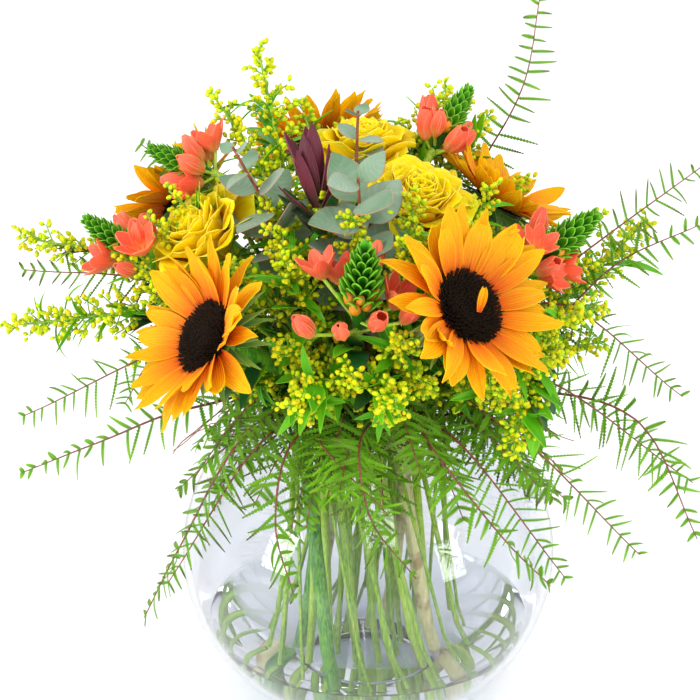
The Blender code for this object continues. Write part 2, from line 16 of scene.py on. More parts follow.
import bmesh
import bpy
import numpy as np
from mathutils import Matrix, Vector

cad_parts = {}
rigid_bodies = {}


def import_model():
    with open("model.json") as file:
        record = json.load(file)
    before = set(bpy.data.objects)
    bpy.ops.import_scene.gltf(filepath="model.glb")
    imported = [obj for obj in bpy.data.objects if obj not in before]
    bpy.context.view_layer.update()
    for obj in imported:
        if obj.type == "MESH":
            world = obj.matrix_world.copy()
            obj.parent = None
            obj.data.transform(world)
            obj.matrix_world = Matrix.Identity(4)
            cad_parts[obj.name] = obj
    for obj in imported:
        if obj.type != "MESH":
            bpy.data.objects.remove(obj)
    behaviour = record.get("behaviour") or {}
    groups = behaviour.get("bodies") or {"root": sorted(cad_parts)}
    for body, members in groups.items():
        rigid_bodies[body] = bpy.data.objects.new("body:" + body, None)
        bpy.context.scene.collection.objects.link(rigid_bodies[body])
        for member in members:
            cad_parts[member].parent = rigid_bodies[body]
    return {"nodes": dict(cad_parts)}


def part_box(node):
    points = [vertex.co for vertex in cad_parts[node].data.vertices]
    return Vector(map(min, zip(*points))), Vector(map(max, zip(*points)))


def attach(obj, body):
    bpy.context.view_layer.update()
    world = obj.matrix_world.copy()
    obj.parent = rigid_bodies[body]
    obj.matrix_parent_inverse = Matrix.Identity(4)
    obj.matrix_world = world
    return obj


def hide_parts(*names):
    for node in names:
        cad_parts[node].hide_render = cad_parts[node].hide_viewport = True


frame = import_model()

LOG = logging.getLogger("bouquet")
GOLDEN_ANGLE = math.pi * (3.0 - math.sqrt(5.0))
FLOOR_GAP = 0.0002
FIRST_SEED = {"sunflower": 11, "rose": 31, "ornithogalum": 41, "goldenrod": 71, "eucalyptus": 111,
              "fern": 131}
UP = np.array((0.0, 0.0, 1.0))
Colour = tuple[float, float, float]


class Slot(Enum):
    """The record's material slots."""

    GLASS = "clear_glass"
    WATER = "water"
    RAY = "sunflower_petal"
    DISC = "sunflower_disc"
    SUNFLOWER_STEM = "sunflower_stem"
    ROSE = "rose_petal"
    ROSE_STEM = "rose_stem"
    CUP = "ornithogalum_flower"
    CUP_STEM = "ornithogalum_stem"
    GOLDENROD = "goldenrod_spray"
    EUCALYPTUS = "eucalyptus_sprig"
    LEUCADENDRON = "leucadendron_leaf"
    FERN = "fern_frond"


# ---------------------------------------------------------------- vectors and paths

def unit(way: np.ndarray) -> np.ndarray:
    """Give a direction the length 1."""
    return way / max(np.linalg.norm(way), 1e-12)


def basis(forward: np.ndarray, up: np.ndarray) -> np.ndarray:
    """Directions in which a shape is laid: its right, its length and its face.

    Args:
        forward: where the shape's length points.
        up: roughly where its face looks.

    Returns:
        Three unit rows: right, forward, up.
    """
    forward = unit(forward)
    right = np.cross(forward, up)
    if np.linalg.norm(right) < 1e-6:
        right = np.cross(forward, np.array((1.0, 0.31, 0.17)))
    right = unit(right)
    return np.stack([right, forward, np.cross(right, forward)])


def smoothed(points: np.ndarray, steps: int = 3) -> np.ndarray:
    """Run a Catmull-Rom curve through a path's points.

    Args:
        points: the path.
        steps: how many pieces each span is split into.

    Returns:
        The finer path, with the same ends.
    """
    ends = np.vstack([2 * points[0] - points[1], points, 2 * points[-1] - points[-2]])
    fine = []
    for i in range(1, len(ends) - 2):
        a, b, c, d = ends[i - 1:i + 3]
        for t in np.arange(steps) / steps:
            fine.append(0.5 * (2 * b + (c - a) * t + (2 * a - 5 * b + 4 * c - d) * t**2
                               + (3 * b - a - 3 * c + d) * t**3))
    return np.array(fine + [points[-1]])


def lengths_along(points: np.ndarray) -> np.ndarray:
    """Distance walked along a path at each of its points."""
    return np.concatenate([[0.0], np.cumsum(np.linalg.norm(np.diff(points, axis=0), axis=1))])


def at_length(points: np.ndarray, walked: float) -> tuple[np.ndarray, np.ndarray]:
    """Place and direction on a path after a distance.

    Args:
        points: the path.
        walked: distance from its start.

    Returns:
        The place, and the unit direction there.
    """
    marks = lengths_along(points)
    i = int(np.clip(np.searchsorted(marks, walked) - 1, 0, len(points) - 2))
    share = (walked - marks[i]) / max(marks[i + 1] - marks[i], 1e-9)
    return points[i] + (points[i + 1] - points[i]) * share, unit(points[i + 1] - points[i])


def arc(start: np.ndarray, way: np.ndarray, length: float, drop: float, count: int = 9) -> np.ndarray:
    """A path that sets out straight and then falls away under its own weight.

    Args:
        start: where it begins.
        way: the direction that it sets out in.
        length: how far it reaches.
        drop: how far its end has fallen below the straight line.
        count: how many points it has.

    Returns:
        The path.
    """
    share = np.linspace(0.0, 1.0, count)[:, None]
    return start + unit(way) * length * share - UP * drop * share**2


def hermite(start: np.ndarray, leaving: np.ndarray, end: np.ndarray, arriving: np.ndarray,
            share: np.ndarray) -> np.ndarray:
    """A curve between two places, with a way to leave the first and to arrive at the second.

    Args:
        start: the first place.
        leaving: the direction and pull there.
        end: the second place.
        arriving: the direction and pull there.
        share: a column of shares of the way, from 0 to 1.

    Returns:
        The curve's points.
    """
    return (start * (2 * share**3 - 3 * share**2 + 1) + leaving * (share**3 - 2 * share**2 + share)
            + end * (3 * share**2 - 2 * share**3) + arriving * (share**3 - share**2))


def leaned(facing: np.ndarray, out: np.ndarray, lean: float) -> np.ndarray:
    """A direction that leans from one way towards another by an angle."""
    return facing * math.cos(lean) + out * math.sin(lean)


def level_way(turn: float) -> np.ndarray:
    """The level direction at this angle from +X."""
    return np.array((math.cos(turn), math.sin(turn), 0.0))


# ---------------------------------------------------------------- the bench

def coordinates(mesh: bpy.types.Mesh) -> np.ndarray:
    """A mesh's points, one row each."""
    spots = np.zeros(len(mesh.vertices) * 3)
    mesh.vertices.foreach_get("co", spots)
    return spots.reshape(-1, 3)


def on_bench(name: str, data: bpy.types.ID) -> bpy.types.Object:
    """Make an object of new data, by itself selected and active.

    Args:
        name: the object's name.
        data: its mesh or curve.

    Returns:
        The object.
    """
    bpy.ops.object.select_all(action="DESELECT")
    piece = bpy.data.objects.new(name, data)
    bpy.context.scene.collection.objects.link(piece)
    bpy.context.view_layer.objects.active = piece
    piece.select_set(True)
    return piece


def close_seams(threshold: float) -> None:
    """In edit mode, merge seams and poles, turn the faces outwards, and leave edit mode."""
    bpy.ops.mesh.select_all(action="SELECT")
    bpy.ops.mesh.remove_doubles(threshold=threshold)
    bpy.ops.mesh.normals_make_consistent(inside=False)
    bpy.ops.object.mode_set(mode="OBJECT")


# ---------------------------------------------------------------- shapes

@dataclass
class Shape:
    """A modelled shape as plain arrays, ready to be copied.

    places holds, for each point, how far across (-1 to 1) and along (0 to 1) the shape it lies.
    """

    points: np.ndarray
    corners: np.ndarray
    sizes: np.ndarray
    places: np.ndarray

    @classmethod
    def taken_from(cls, piece: bpy.types.Object) -> "Shape":
        """Read a finished piece into arrays, and clear it off the bench.

        Args:
            piece: a mesh object, perhaps with its "place" written on its points.

        Returns:
            The shape.
        """
        mesh = piece.data
        points = coordinates(mesh)
        corners = np.zeros(len(mesh.loops), np.int32)
        mesh.loops.foreach_get("vertex_index", corners)
        sizes = np.zeros(len(mesh.polygons), np.int32)
        mesh.polygons.foreach_get("loop_total", sizes)
        places = np.zeros(len(mesh.vertices) * 3)
        if "place" in mesh.attributes:
            mesh.attributes["place"].data.foreach_get("vector", places)
        bpy.data.objects.remove(piece)
        return cls(points, corners, sizes, places.reshape(-1, 3)[:, :2])

    def placed_along(self) -> "Shape":
        """The same shape, with its places read off its height and its side."""
        low, high = self.points[:, 2].min(), self.points[:, 2].max()
        along = (self.points[:, 2] - low) / (high - low)
        across = self.points[:, 0] / np.abs(self.points[:, 0]).max()
        return Shape(self.points, self.corners, self.sizes, np.stack([across, along], 1))

    def laid(self) -> "Shape":
        """The same shape turned from standing along Z to lying along Y."""
        turned = self.points[:, (0, 2, 1)] * (1.0, 1.0, -1.0)
        return Shape(turned, self.corners, self.sizes, self.places)


def bent(points: np.ndarray, curl: float = 0.0, power: float = 1.0, twist: float = 0.0,
         wrap: float = 0.0, wave: float = 0.0, phase: float = 0.0) -> np.ndarray:
    """Bend a shape that lies along +Y with its face up.

    Args:
        points: the shape's points.
        curl: how far its end turns up, in radians.
        power: above 1, the turn gathers near the end.
        twist: how far its end turns about its own length, in radians.
        wrap: radius of the round thing that its width wraps, or 0.
        wave: height of the waves along its edge, which grow towards the end.
        phase: where the waves start.

    Returns:
        The bent points.
    """
    x, y, z = points[:, 0].copy(), points[:, 1], points[:, 2].copy()
    length = y.max()
    share = np.clip(y / length, 0.0, 1.0)
    if wave:
        z += wave * share**2 * np.sin(7.0 * x / np.abs(x).max() + phase)
    if wrap:
        turn = x / wrap
        x, z = (wrap - z) * np.sin(turn), wrap - (wrap - z) * np.cos(turn)
    if twist:
        turn = twist * share
        x, z = x * np.cos(turn) - z * np.sin(turn), x * np.sin(turn) + z * np.cos(turn)
    steps = np.linspace(0.0, 1.0, 33)
    turns = curl * steps**power
    line_y = np.concatenate([[0.0], np.cumsum(np.cos((turns[1:] + turns[:-1]) / 2))]) / 32 * length
    line_z = np.concatenate([[0.0], np.cumsum(np.sin((turns[1:] + turns[:-1]) / 2))]) / 32 * length
    turn = curl * share**power
    below = np.minimum(y, 0.0)
    return np.stack([
        x,
        np.interp(share, steps, line_y) - z * np.sin(turn) + below,
        np.interp(share, steps, line_z) + z * np.cos(turn),
    ], 1)


class Blank:
    """A primitive on the bench, shaped in edit mode by operators on the points picked in code."""

    def __init__(self, add: Callable, **sizes: object) -> None:
        """Add the primitive by itself and open it for editing.

        Args:
            add: the operator that adds it.
            sizes: the operator's own settings.
        """
        if bpy.context.mode != "OBJECT":
            bpy.ops.object.mode_set(mode="OBJECT")
        bpy.ops.object.select_all(action="DESELECT")
        add(**sizes)
        self.piece = bpy.context.object
        bpy.ops.object.transform_apply(location=True, rotation=True, scale=True)
        bpy.ops.object.mode_set(mode="EDIT")

    def pick(self, chosen: Callable[[object], bool]) -> "Blank":
        """Select only the points whose place passes a test.

        Args:
            chosen: the test.

        Returns:
            The blank itself.
        """
        sheet = bmesh.from_edit_mesh(self.piece.data)
        for vert in sheet.verts:
            vert.select = chosen(vert.co)
        sheet.select_mode = {"VERT"}
        sheet.select_flush_mode()
        bmesh.update_edit_mesh(self.piece.data)
        return self

    def shift(self, x: float = 0.0, y: float = 0.0, z: float = 0.0) -> "Blank":
        """Move what is picked."""
        bpy.ops.transform.translate(value=(x, y, z))
        return self

    def resize(self, x: float, y: float, z: float, centre: Sequence[float] = (0, 0, 0)) -> "Blank":
        """Scale what is picked about a centre."""
        bpy.ops.transform.resize(value=(x, y, z), center_override=centre)
        return self

    def extrude(self, x: float = 0.0, y: float = 0.0, z: float = 0.0) -> "Blank":
        """Draw what is picked out into new faces."""
        bpy.ops.mesh.extrude_region_move(TRANSFORM_OT_translate={"value": (x, y, z)})
        return self

    def write_places(self) -> "Blank":
        """Note on each point how far across and along the flat sheet it lies."""
        bpy.ops.object.mode_set(mode="OBJECT")
        mesh = self.piece.data
        spots = coordinates(mesh)
        spots[:, 0] *= 2.0
        mesh.attributes.new("place", "FLOAT_VECTOR", "POINT").data.foreach_set("vector", spots.ravel())
        bpy.ops.object.mode_set(mode="EDIT")
        return self

    def done(self, thickness: float = 0.0) -> Shape:
        """Close the work and read the shape.

        Args:
            thickness: wall to give a flat sheet, or 0.

        Returns:
            The shape.
        """
        bpy.ops.object.mode_set(mode="OBJECT")
        if thickness:
            wall = self.piece.modifiers.new("wall", "SOLIDIFY")
            wall.thickness = thickness
            wall.offset = 0.0
            bpy.ops.object.modifier_apply(modifier="wall")
        return Shape.taken_from(self.piece)


@dataclass(frozen=True)
class Blade:
    """How a leaf or a petal is cut from a flat sheet.

    outline gives its half-widths from base to tip, as shares of half its width. cup is how far its
    edges rise, and groove how deep its lengthwise furrows are, both as shares of its width.
    """

    length: float
    width: float
    outline: tuple[float, ...]
    columns: int = 6
    rows: int = 10
    cup: float = 0.0
    groove: float = 0.0
    furrows: float = 2.0
    thickness: float = 0.0004
    notch: float = 0.0
    teeth: float = 0.0

    def half_width(self, share: float) -> float:
        """Half-width at a share of the length, as a share of half the width."""
        marks = np.linspace(0.0, 1.0, len(self.outline))
        return float(np.interp(share, marks, self.outline))

    def shape(self) -> Shape:
        """Cut, crease and thicken the blade.

        Returns:
            The blade, lying along +Y from its base at the origin.
        """
        blank = Blank(bpy.ops.mesh.primitive_grid_add, x_subdivisions=self.columns, y_subdivisions=self.rows,
                      size=1.0, location=(0.0, 0.5, 0.0))
        blank.write_places()
        for i in range(self.columns + 1):
            x = i / self.columns - 0.5
            rise = self.cup * (2 * x) ** 2 + self.groove * math.cos(2 * math.pi * self.furrows * x)
            blank.pick(lambda co, x=x: abs(co.x - x) < 1e-4).shift(z=rise)
        if self.notch:
            self.cut_tip(blank)
        for j in range(self.rows + 1):
            y = j / self.rows
            wide = max(self.half_width(y), 0.02)
            if self.teeth and j % 2:
                wide *= 1.0 - self.teeth
            blank.pick(lambda co, y=y: abs(co.y - y) < 0.4 / self.rows)
            blank.resize(wide * self.width, 1.0, wide * self.width, (0.0, y, 0.0))
        blank.pick(lambda co: True).resize(1.0, self.length, 1.0)
        return blank.done(self.thickness)

    def cut_tip(self, blank: Blank) -> None:
        """Draw the end row's middle back, so that the tip ends in two points."""
        blank.pick(lambda co: co.y > 1 - 0.4 / self.rows and abs(co.x) < 0.3).shift(y=-self.notch)


class Gathering:
    """Many copies of shapes, joined into one piece."""

    def __init__(self, name: str) -> None:
        """Start an empty piece of this name.

        Args:
            name: the piece's name.
        """
        self.name = name
        self.points: list[np.ndarray] = []
        self.corners: list[np.ndarray] = []
        self.sizes: list[np.ndarray] = []
        self.places: list[np.ndarray] = []
        self.dress: list[np.ndarray] = []
        self.count = 0

    def add(self, shape: Shape, points: np.ndarray, tint: float = 0.5, finish: int = 0) -> None:
        """Add a copy of a shape.

        Args:
            shape: the shape.
            points: where this copy's points are.
            tint: the copy's own shade, from 0 to 1.
            finish: which of the piece's finishes it wears.
        """
        self.points.append(points)
        self.corners.append(shape.corners + self.count)
        self.sizes.append(shape.sizes)
        self.places.append(np.column_stack([shape.places, np.full(len(points), tint)]))
        self.dress.append(np.full(len(shape.sizes), finish, np.int32))
        self.count += len(points)

    def set(self, shape: Shape, origin: np.ndarray, forward: np.ndarray, up: np.ndarray,
            scale: float | Sequence[float] = 1.0, tint: float = 0.5, finish: int = 0, **bends: float) -> None:
        """Add a copy of a shape, bent and laid at its place.

        Args:
            shape: the shape, lying along +Y.
            origin: where its base goes.
            forward: where its length points.
            up: where its face looks.
            scale: its size, or one for each of width, length and thickness.
            tint: the copy's own shade, from 0 to 1.
            finish: which of the piece's finishes it wears.
            bends: what bent() takes.
        """
        points = bent(shape.points * scale, **bends) if bends else shape.points * scale
        self.add(shape, origin + points @ basis(forward, up), tint, finish)

    def stalks(self, paths: Iterable[tuple[np.ndarray, np.ndarray]], sides: int = 8, tint: float = 0.5,
               finish: int = 0) -> None:
        """Add stalks, drawn as one bevelled curve that is turned into a mesh.

        Args:
            paths: each stalk's points and its radius at each of them.
            sides: how many sides a stalk has, an even number of 4 or more.
            tint: their shade.
            finish: which of the piece's finishes they wear.
        """
        line = bpy.data.curves.new("stalks", "CURVE")
        line.dimensions = "3D"
        line.bevel_depth = 1.0
        line.bevel_resolution = (sides - 4) // 2
        line.use_fill_caps = True
        for points, radii in paths:
            spline = line.splines.new("POLY")
            spline.points.add(len(points) - 1)
            spline.points.foreach_set("co", np.column_stack([points, np.ones(len(points))]).ravel())
            spline.points.foreach_set("radius", np.asarray(radii, float))
        on_bench("stalks", line)
        bpy.ops.object.convert(target="MESH")
        bpy.ops.object.mode_set(mode="EDIT")
        close_seams(1e-7)
        shape = Shape.taken_from(bpy.context.object)
        self.add(shape, shape.points, tint, finish)

    def piece(self, finishes: Sequence["Finish"], slot: Slot, *nodes: str,
              sharp: float = 60.0) -> bpy.types.Object:
        """Make the piece, dress it and give it its place in the frame.

        Args:
            finishes: its finishes, in the order that its copies name them.
            slot: not used.
            nodes: the CAD nodes that it stands for.
            sharp: creases above this many degrees stay sharp.

        Returns:
            The piece.
        """
        mesh = bpy.data.meshes.new(self.name)
        points, corners = np.vstack(self.points), np.concatenate(self.corners)
        sizes = np.concatenate(self.sizes)
        mesh.vertices.add(len(points))
        mesh.vertices.foreach_set("co", points.astype(np.float32).ravel())
        mesh.loops.add(len(corners))
        mesh.loops.foreach_set("vertex_index", corners)
        mesh.polygons.add(len(sizes))
        mesh.polygons.foreach_set("loop_start", np.concatenate([[0], np.cumsum(sizes)[:-1]]).astype(np.int32))
        mesh.polygons.foreach_set("loop_total", sizes)
        mesh.polygons.foreach_set("material_index", np.concatenate(self.dress))
        spots = mesh.attributes.new("place", "FLOAT_VECTOR", "POINT")
        spots.data.foreach_set("vector", np.vstack(self.places).astype(np.float32).ravel())
        mesh.update(calc_edges=True)
        mesh.validate()
        mesh.shade_smooth()
        mesh.set_sharp_from_angle(angle=math.radians(sharp))
        made = bpy.data.objects.new(self.name, mesh)
        bpy.context.scene.collection.objects.link(made)
        for finish in finishes:
            mesh.materials.append(finish.material())
        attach(made, "root")
        if nodes:
            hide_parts(*nodes)
        LOG.info("%s: %d triangles", self.name, int((sizes - 2).sum()))
        return made


# ---------------------------------------------------------------- finishes

class Wiring:
    """A node tree with short ways to add nodes and join them."""

    def __init__(self, tree: bpy.types.NodeTree) -> None:
        """Work on this tree."""
        self.tree = tree

    def node(self, kind: str, settings: dict | None = None, **inputs: object) -> bpy.types.Node:
        """Add a node.

        Args:
            kind: its type.
            settings: its own properties.
            inputs: values or sockets for its inputs, by name, with _ for a space.

        Returns:
            The node.
        """
        made = self.tree.nodes.new(kind)
        for key, value in (settings or {}).items():
            setattr(made, key, value)
        self.feed_all(made, **inputs)
        return made

    def feed_all(self, node: bpy.types.Node, **inputs: object) -> None:
        """Set or join several inputs of a node, by name, with _ for a space."""
        for key, value in inputs.items():
            self.feed(node.inputs[key.replace("_", " ")], value)

    def feed(self, socket: bpy.types.NodeSocket, value: object) -> None:
        """Set a socket, or join another one to it."""
        if isinstance(value, bpy.types.NodeSocket):
            self.tree.links.new(value, socket)
        else:
            socket.default_value = value

    def maths(self, operation: str, a: object, b: object = 0.0) -> bpy.types.NodeSocket:
        """One step of arithmetic.

        Args:
            operation: which step.
            a: its first value or socket.
            b: its second value or socket.

        Returns:
            The socket that holds the result.
        """
        made = self.tree.nodes.new("ShaderNodeMath")
        made.operation = operation
        self.feed(made.inputs[0], a)
        self.feed(made.inputs[1], b)
        return made.outputs[0]

    def mix(self, share: object, a: object, b: object, blend: str = "MIX") -> bpy.types.NodeSocket:
        """Mix two colours.

        Args:
            share: how much of the second colour shows.
            a: the first colour.
            b: the second colour.
            blend: how they are mixed.

        Returns:
            The socket that holds the colour.
        """
        made = self.tree.nodes.new("ShaderNodeMix")
        made.data_type = "RGBA"
        made.blend_type = blend
        self.feed(made.inputs[0], share)
        self.feed(made.inputs[6], a)
        self.feed(made.inputs[7], b)
        return made.outputs[2]

    def ramp(self, share: object, stops: Sequence[tuple[float, Colour]]) -> bpy.types.NodeSocket:
        """A colour that runs through stops.

        Args:
            share: where on the run it is read, from 0 to 1.
            stops: places on the run, each with its colour.

        Returns:
            The socket that holds the colour.
        """
        made = self.tree.nodes.new("ShaderNodeValToRGB")
        self.feed(made.inputs[0], share)
        marks = made.color_ramp.elements
        while len(marks) < len(stops):
            marks.new(0.5)
        for mark, (place, colour) in zip(marks, stops):
            mark.position = place
            mark.color = linear(colour)
        return made.outputs[0]


def linear(colour: Colour) -> tuple[float, float, float, float]:
    """A display colour from 0 to 255 as the shader's linear value."""
    shares = [c / 255 for c in colour]
    return (*(s / 12.92 if s <= 0.04045 else ((s + 0.055) / 1.055) ** 2.4 for s in shares), 1.0)


def group_of(name: str, inputs: Sequence[tuple[str, float]], outputs: Sequence[str],
             wire: Callable[[Wiring, bpy.types.Node, bpy.types.Node], None]) -> bpy.types.NodeTree:
    """Build a shared effect once.

    Args:
        name: the group's name.
        inputs: names and first values of its inputs, all plain numbers.
        outputs: names of its outputs, all plain numbers.
        wire: joins its input node to its output node.

    Returns:
        The node group.
    """
    found = bpy.data.node_groups.get(name)
    if found:
        return found
    tree = bpy.data.node_groups.new(name, "ShaderNodeTree")
    for label, value in inputs:
        socket = tree.interface.new_socket(label, in_out="INPUT", socket_type="NodeSocketFloat")
        socket.default_value = value
    for label in outputs:
        tree.interface.new_socket(label, in_out="OUTPUT", socket_type="NodeSocketFloat")
    wire(Wiring(tree), tree.nodes.new("NodeGroupInput"), tree.nodes.new("NodeGroupOutput"))
    return tree


def wire_blade(wiring: Wiring, inside: bpy.types.Node, outside: bpy.types.Node) -> None:
    """Places, veins, edge and shade of a leaf or petal, from the place written on its points.

    Args:
        wiring: the group's nodes.
        inside: its input node.
        outside: its output node.
    """
    place = wiring.node("ShaderNodeAttribute", {"attribute_name": "place"})
    parts = wiring.node("ShaderNodeSeparateXYZ", Vector=place.outputs["Vector"])
    side = wiring.maths("ABSOLUTE", parts.outputs["X"])
    edge = wiring.node("ShaderNodeMapRange", {"interpolation_type": "SMOOTHSTEP"}, Value=side)
    wiring.feed(edge.inputs["From Min"], inside.outputs["Edge Start"])
    turns = wiring.maths("MULTIPLY", parts.outputs["X"], inside.outputs["Veins"])
    slant = wiring.maths("MULTIPLY", parts.outputs["Y"], inside.outputs["Slant"])
    bend = wiring.maths("MULTIPLY", side, slant)
    sum_of = wiring.maths("ADD", turns, wiring.maths("SUBTRACT", slant, wiring.maths("MULTIPLY", bend, 0.3)))
    vein = wiring.maths("ABSOLUTE", wiring.maths("SINE", sum_of))
    spot = wiring.node("ShaderNodeTexCoord").outputs["Object"]
    noise = wiring.node("ShaderNodeTexNoise", Vector=spot, Scale=inside.outputs["Mottle Scale"], Detail=3.0)
    off_middle = [wiring.maths("SUBTRACT", value, 0.5) for value in (noise.outputs[0], parts.outputs["Z"])]
    mottle = wiring.maths("MULTIPLY", off_middle[0], inside.outputs["Mottle"])
    tint = wiring.maths("MULTIPLY", off_middle[1], inside.outputs["Spread"])
    shade = wiring.maths("ADD", 1.0, wiring.maths("ADD", mottle, tint))
    wiring.feed_all(outside, Along=parts.outputs["Y"], Tint=parts.outputs["Z"], Edge=edge.outputs[0],
                    Vein=vein, Shade=shade)


def wire_grain(wiring: Wiring, inside: bpy.types.Node, outside: bpy.types.Node) -> None:
    """Streaks that run up a stem, and blotches on it, in the object's own coordinates.

    Args:
        wiring: the group's nodes.
        inside: its input node.
        outside: its output node.
    """
    spot = wiring.node("ShaderNodeTexCoord").outputs["Object"]
    squash = wiring.node("ShaderNodeMapping", Vector=spot, Scale=(1.0, 1.0, 0.08))
    streak = wiring.node("ShaderNodeTexNoise", Vector=squash.outputs[0], Scale=inside.outputs["Streak Scale"])
    blotch = wiring.node("ShaderNodeTexNoise", Vector=spot, Scale=inside.outputs["Blotch Scale"], Detail=4.0)
    hair = wiring.node("ShaderNodeTexNoise", Vector=spot, Scale=2600.0, Detail=1.0)
    wiring.feed_all(outside, Streak=streak.outputs[0], Blotch=blotch.outputs[0], Hair=hair.outputs[0])


def blade_group() -> bpy.types.NodeTree:
    """The shared pattern of leaves and petals."""
    inputs = (("Edge Start", 0.8), ("Veins", 9.0), ("Slant", 0.0), ("Mottle", 0.2), ("Mottle Scale", 90.0),
              ("Spread", 0.3))
    return group_of("blade_pattern", inputs, ("Along", "Tint", "Edge", "Vein", "Shade"), wire_blade)


def grain_group() -> bpy.types.NodeTree:
    """The shared grain of stems."""
    inputs = (("Streak Scale", 900.0), ("Blotch Scale", 60.0))
    return group_of("stem_grain", inputs, ("Streak", "Blotch", "Hair"), wire_grain)


@dataclass(frozen=True)
class Finish:
    """A finish with its own material, made on first use."""

    name: str

    def material(self) -> bpy.types.Material:
        """The material of this finish."""
        found = bpy.data.materials.get(self.name)
        if found:
            return found
        made = bpy.data.materials.new(self.name)
        made.use_nodes = True
        wiring = Wiring(made.node_tree)
        self.wire(wiring, made.node_tree.nodes["Principled BSDF"])
        return made

    def wire(self, wiring: Wiring, shader: bpy.types.Node) -> None:
        """Join the finish's nodes to its shader."""
        raise NotImplementedError


@dataclass(frozen=True)
class BladeFinish(Finish):
    """A leaf or petal: a colour from base to tip, a margin, veins, and a shade for each copy."""

    base: Colour
    middle: Colour
    tip: Colour
    edge: Colour
    base_end: float = 0.0
    edge_share: float = 0.5
    edge_start: float = 0.8
    other: Colour | None = None
    other_share: float = 1.6
    veins: float = 9.0
    slant: float = 0.0
    vein_shade: float = 0.12
    relief: float = 0.25
    mottle: float = 0.25
    mottle_scale: float = 90.0
    spread: float = 0.3
    roughness: float = 0.5
    sheen: float = 0.0
    gloss: float = 0.3
    glow: float = 0.0

    def wire(self, wiring: Wiring, shader: bpy.types.Node) -> None:
        """Join the blade pattern to its shader.

        Args:
            wiring: the material's nodes.
            shader: its main shader.
        """
        pattern = wiring.node("ShaderNodeGroup", {"node_tree": blade_group()}, Edge_Start=self.edge_start,
                              Veins=self.veins, Slant=self.slant, Mottle=self.mottle,
                              Mottle_Scale=self.mottle_scale, Spread=self.spread)
        out = pattern.outputs
        stops = ((self.base_end, self.base), (0.5 + self.base_end / 2, self.middle), (1.0, self.tip))
        colour = wiring.ramp(out["Along"], stops)
        if self.other:
            share = wiring.maths("MULTIPLY", out["Along"], self.other_share)
            share = wiring.maths("MULTIPLY", out["Tint"], share)
            colour = wiring.mix(share, colour, linear(self.other))
        colour = wiring.mix(wiring.maths("MULTIPLY", out["Edge"], self.edge_share), colour, linear(self.edge))
        dark = wiring.maths("SUBTRACT", 1.0, wiring.maths("MULTIPLY", out["Vein"], self.vein_shade))
        shade = wiring.node("ShaderNodeCombineXYZ")
        for axis in "XYZ":
            wiring.feed(shade.inputs[axis], wiring.maths("MULTIPLY", out["Shade"], dark))
        colour = wiring.mix(1.0, colour, shade.outputs[0], "MULTIPLY")
        bump = wiring.node("ShaderNodeBump", Height=out["Vein"], Strength=self.relief, Distance=0.0006)
        wiring.feed_all(shader, Base_Color=colour, Roughness=self.roughness, Sheen_Weight=self.sheen,
                        Specular_IOR_Level=self.gloss, Normal=bump.outputs[0])
        if self.glow:
            wiring.feed_all(shader, Subsurface_Weight=self.glow, Subsurface_Radius=(1.0, 0.5, 0.1),
                            Subsurface_Scale=0.004)


@dataclass(frozen=True)
class StemFinish(Finish):
    """A stem: two greens in streaks, blotches of a third colour, and fine hairs."""

    dark: Colour
    light: Colour
    blotch: Colour
    blotch_share: float = 0.3
    roughness: float = 0.5
    streaks: float = 900.0

    def wire(self, wiring: Wiring, shader: bpy.types.Node) -> None:
        """Join the grain to its shader.

        Args:
            wiring: the material's nodes.
            shader: its main shader.
        """
        grain = wiring.node("ShaderNodeGroup", {"node_tree": grain_group()}, Streak_Scale=self.streaks)
        out = grain.outputs
        colour = wiring.ramp(out["Streak"], ((0.35, self.dark), (0.65, self.light)))
        patch = wiring.node("ShaderNodeMapRange", {"interpolation_type": "SMOOTHSTEP"}, Value=out["Blotch"],
                            From_Min=0.52, From_Max=0.66)
        colour = wiring.mix(wiring.maths("MULTIPLY", patch.outputs[0], self.blotch_share), colour,
                            linear(self.blotch))
        height = wiring.maths("ADD", out["Streak"], wiring.maths("MULTIPLY", out["Hair"], 0.3))
        bump = wiring.node("ShaderNodeBump", Height=height, Strength=0.35, Distance=0.0005)
        wiring.feed_all(shader, Base_Color=colour, Roughness=self.roughness, Normal=bump.outputs[0])


@dataclass(frozen=True)
class ClearFinish(Finish):
    """Glass or water: it bends light, and lets the lamps' light through to what is inside."""

    colour: Colour
    ior: float

    def wire(self, wiring: Wiring, shader: bpy.types.Node) -> None:
        """Join the clear shader and its way for shadow rays to the output.

        Args:
            wiring: the material's nodes.
            shader: its main shader.
        """
        wiring.feed_all(shader, Base_Color=linear(self.colour), Roughness=0.0, Transmission_Weight=1.0,
                        IOR=self.ior)
        clear = wiring.node("ShaderNodeBsdfTransparent", Color=linear(self.colour))
        ray = wiring.node("ShaderNodeLightPath")
        both = wiring.node("ShaderNodeMixShader")
        wiring.feed(both.inputs[0], ray.outputs["Is Shadow Ray"])
        wiring.feed(both.inputs[1], shader.outputs[0])
        wiring.feed(both.inputs[2], clear.outputs[0])
        wiring.feed(wiring.tree.nodes["Material Output"].inputs["Surface"], both.outputs[0])


@dataclass(frozen=True)
class FloorFinish(Finish):
    """A plain pale studio floor."""

    colour: Colour = (250, 250, 250)

    def wire(self, wiring: Wiring, shader: bpy.types.Node) -> None:
        """Set the plain shader, with a very faint unevenness."""
        spot = wiring.node("ShaderNodeTexCoord").outputs["Object"]
        noise = wiring.node("ShaderNodeTexNoise", Vector=spot, Scale=3.0)
        colour = wiring.ramp(noise.outputs[0], ((0.0, tuple(c - 2 for c in self.colour)), (1.0, self.colour)))
        wiring.feed_all(shader, Base_Color=colour, Roughness=0.9)


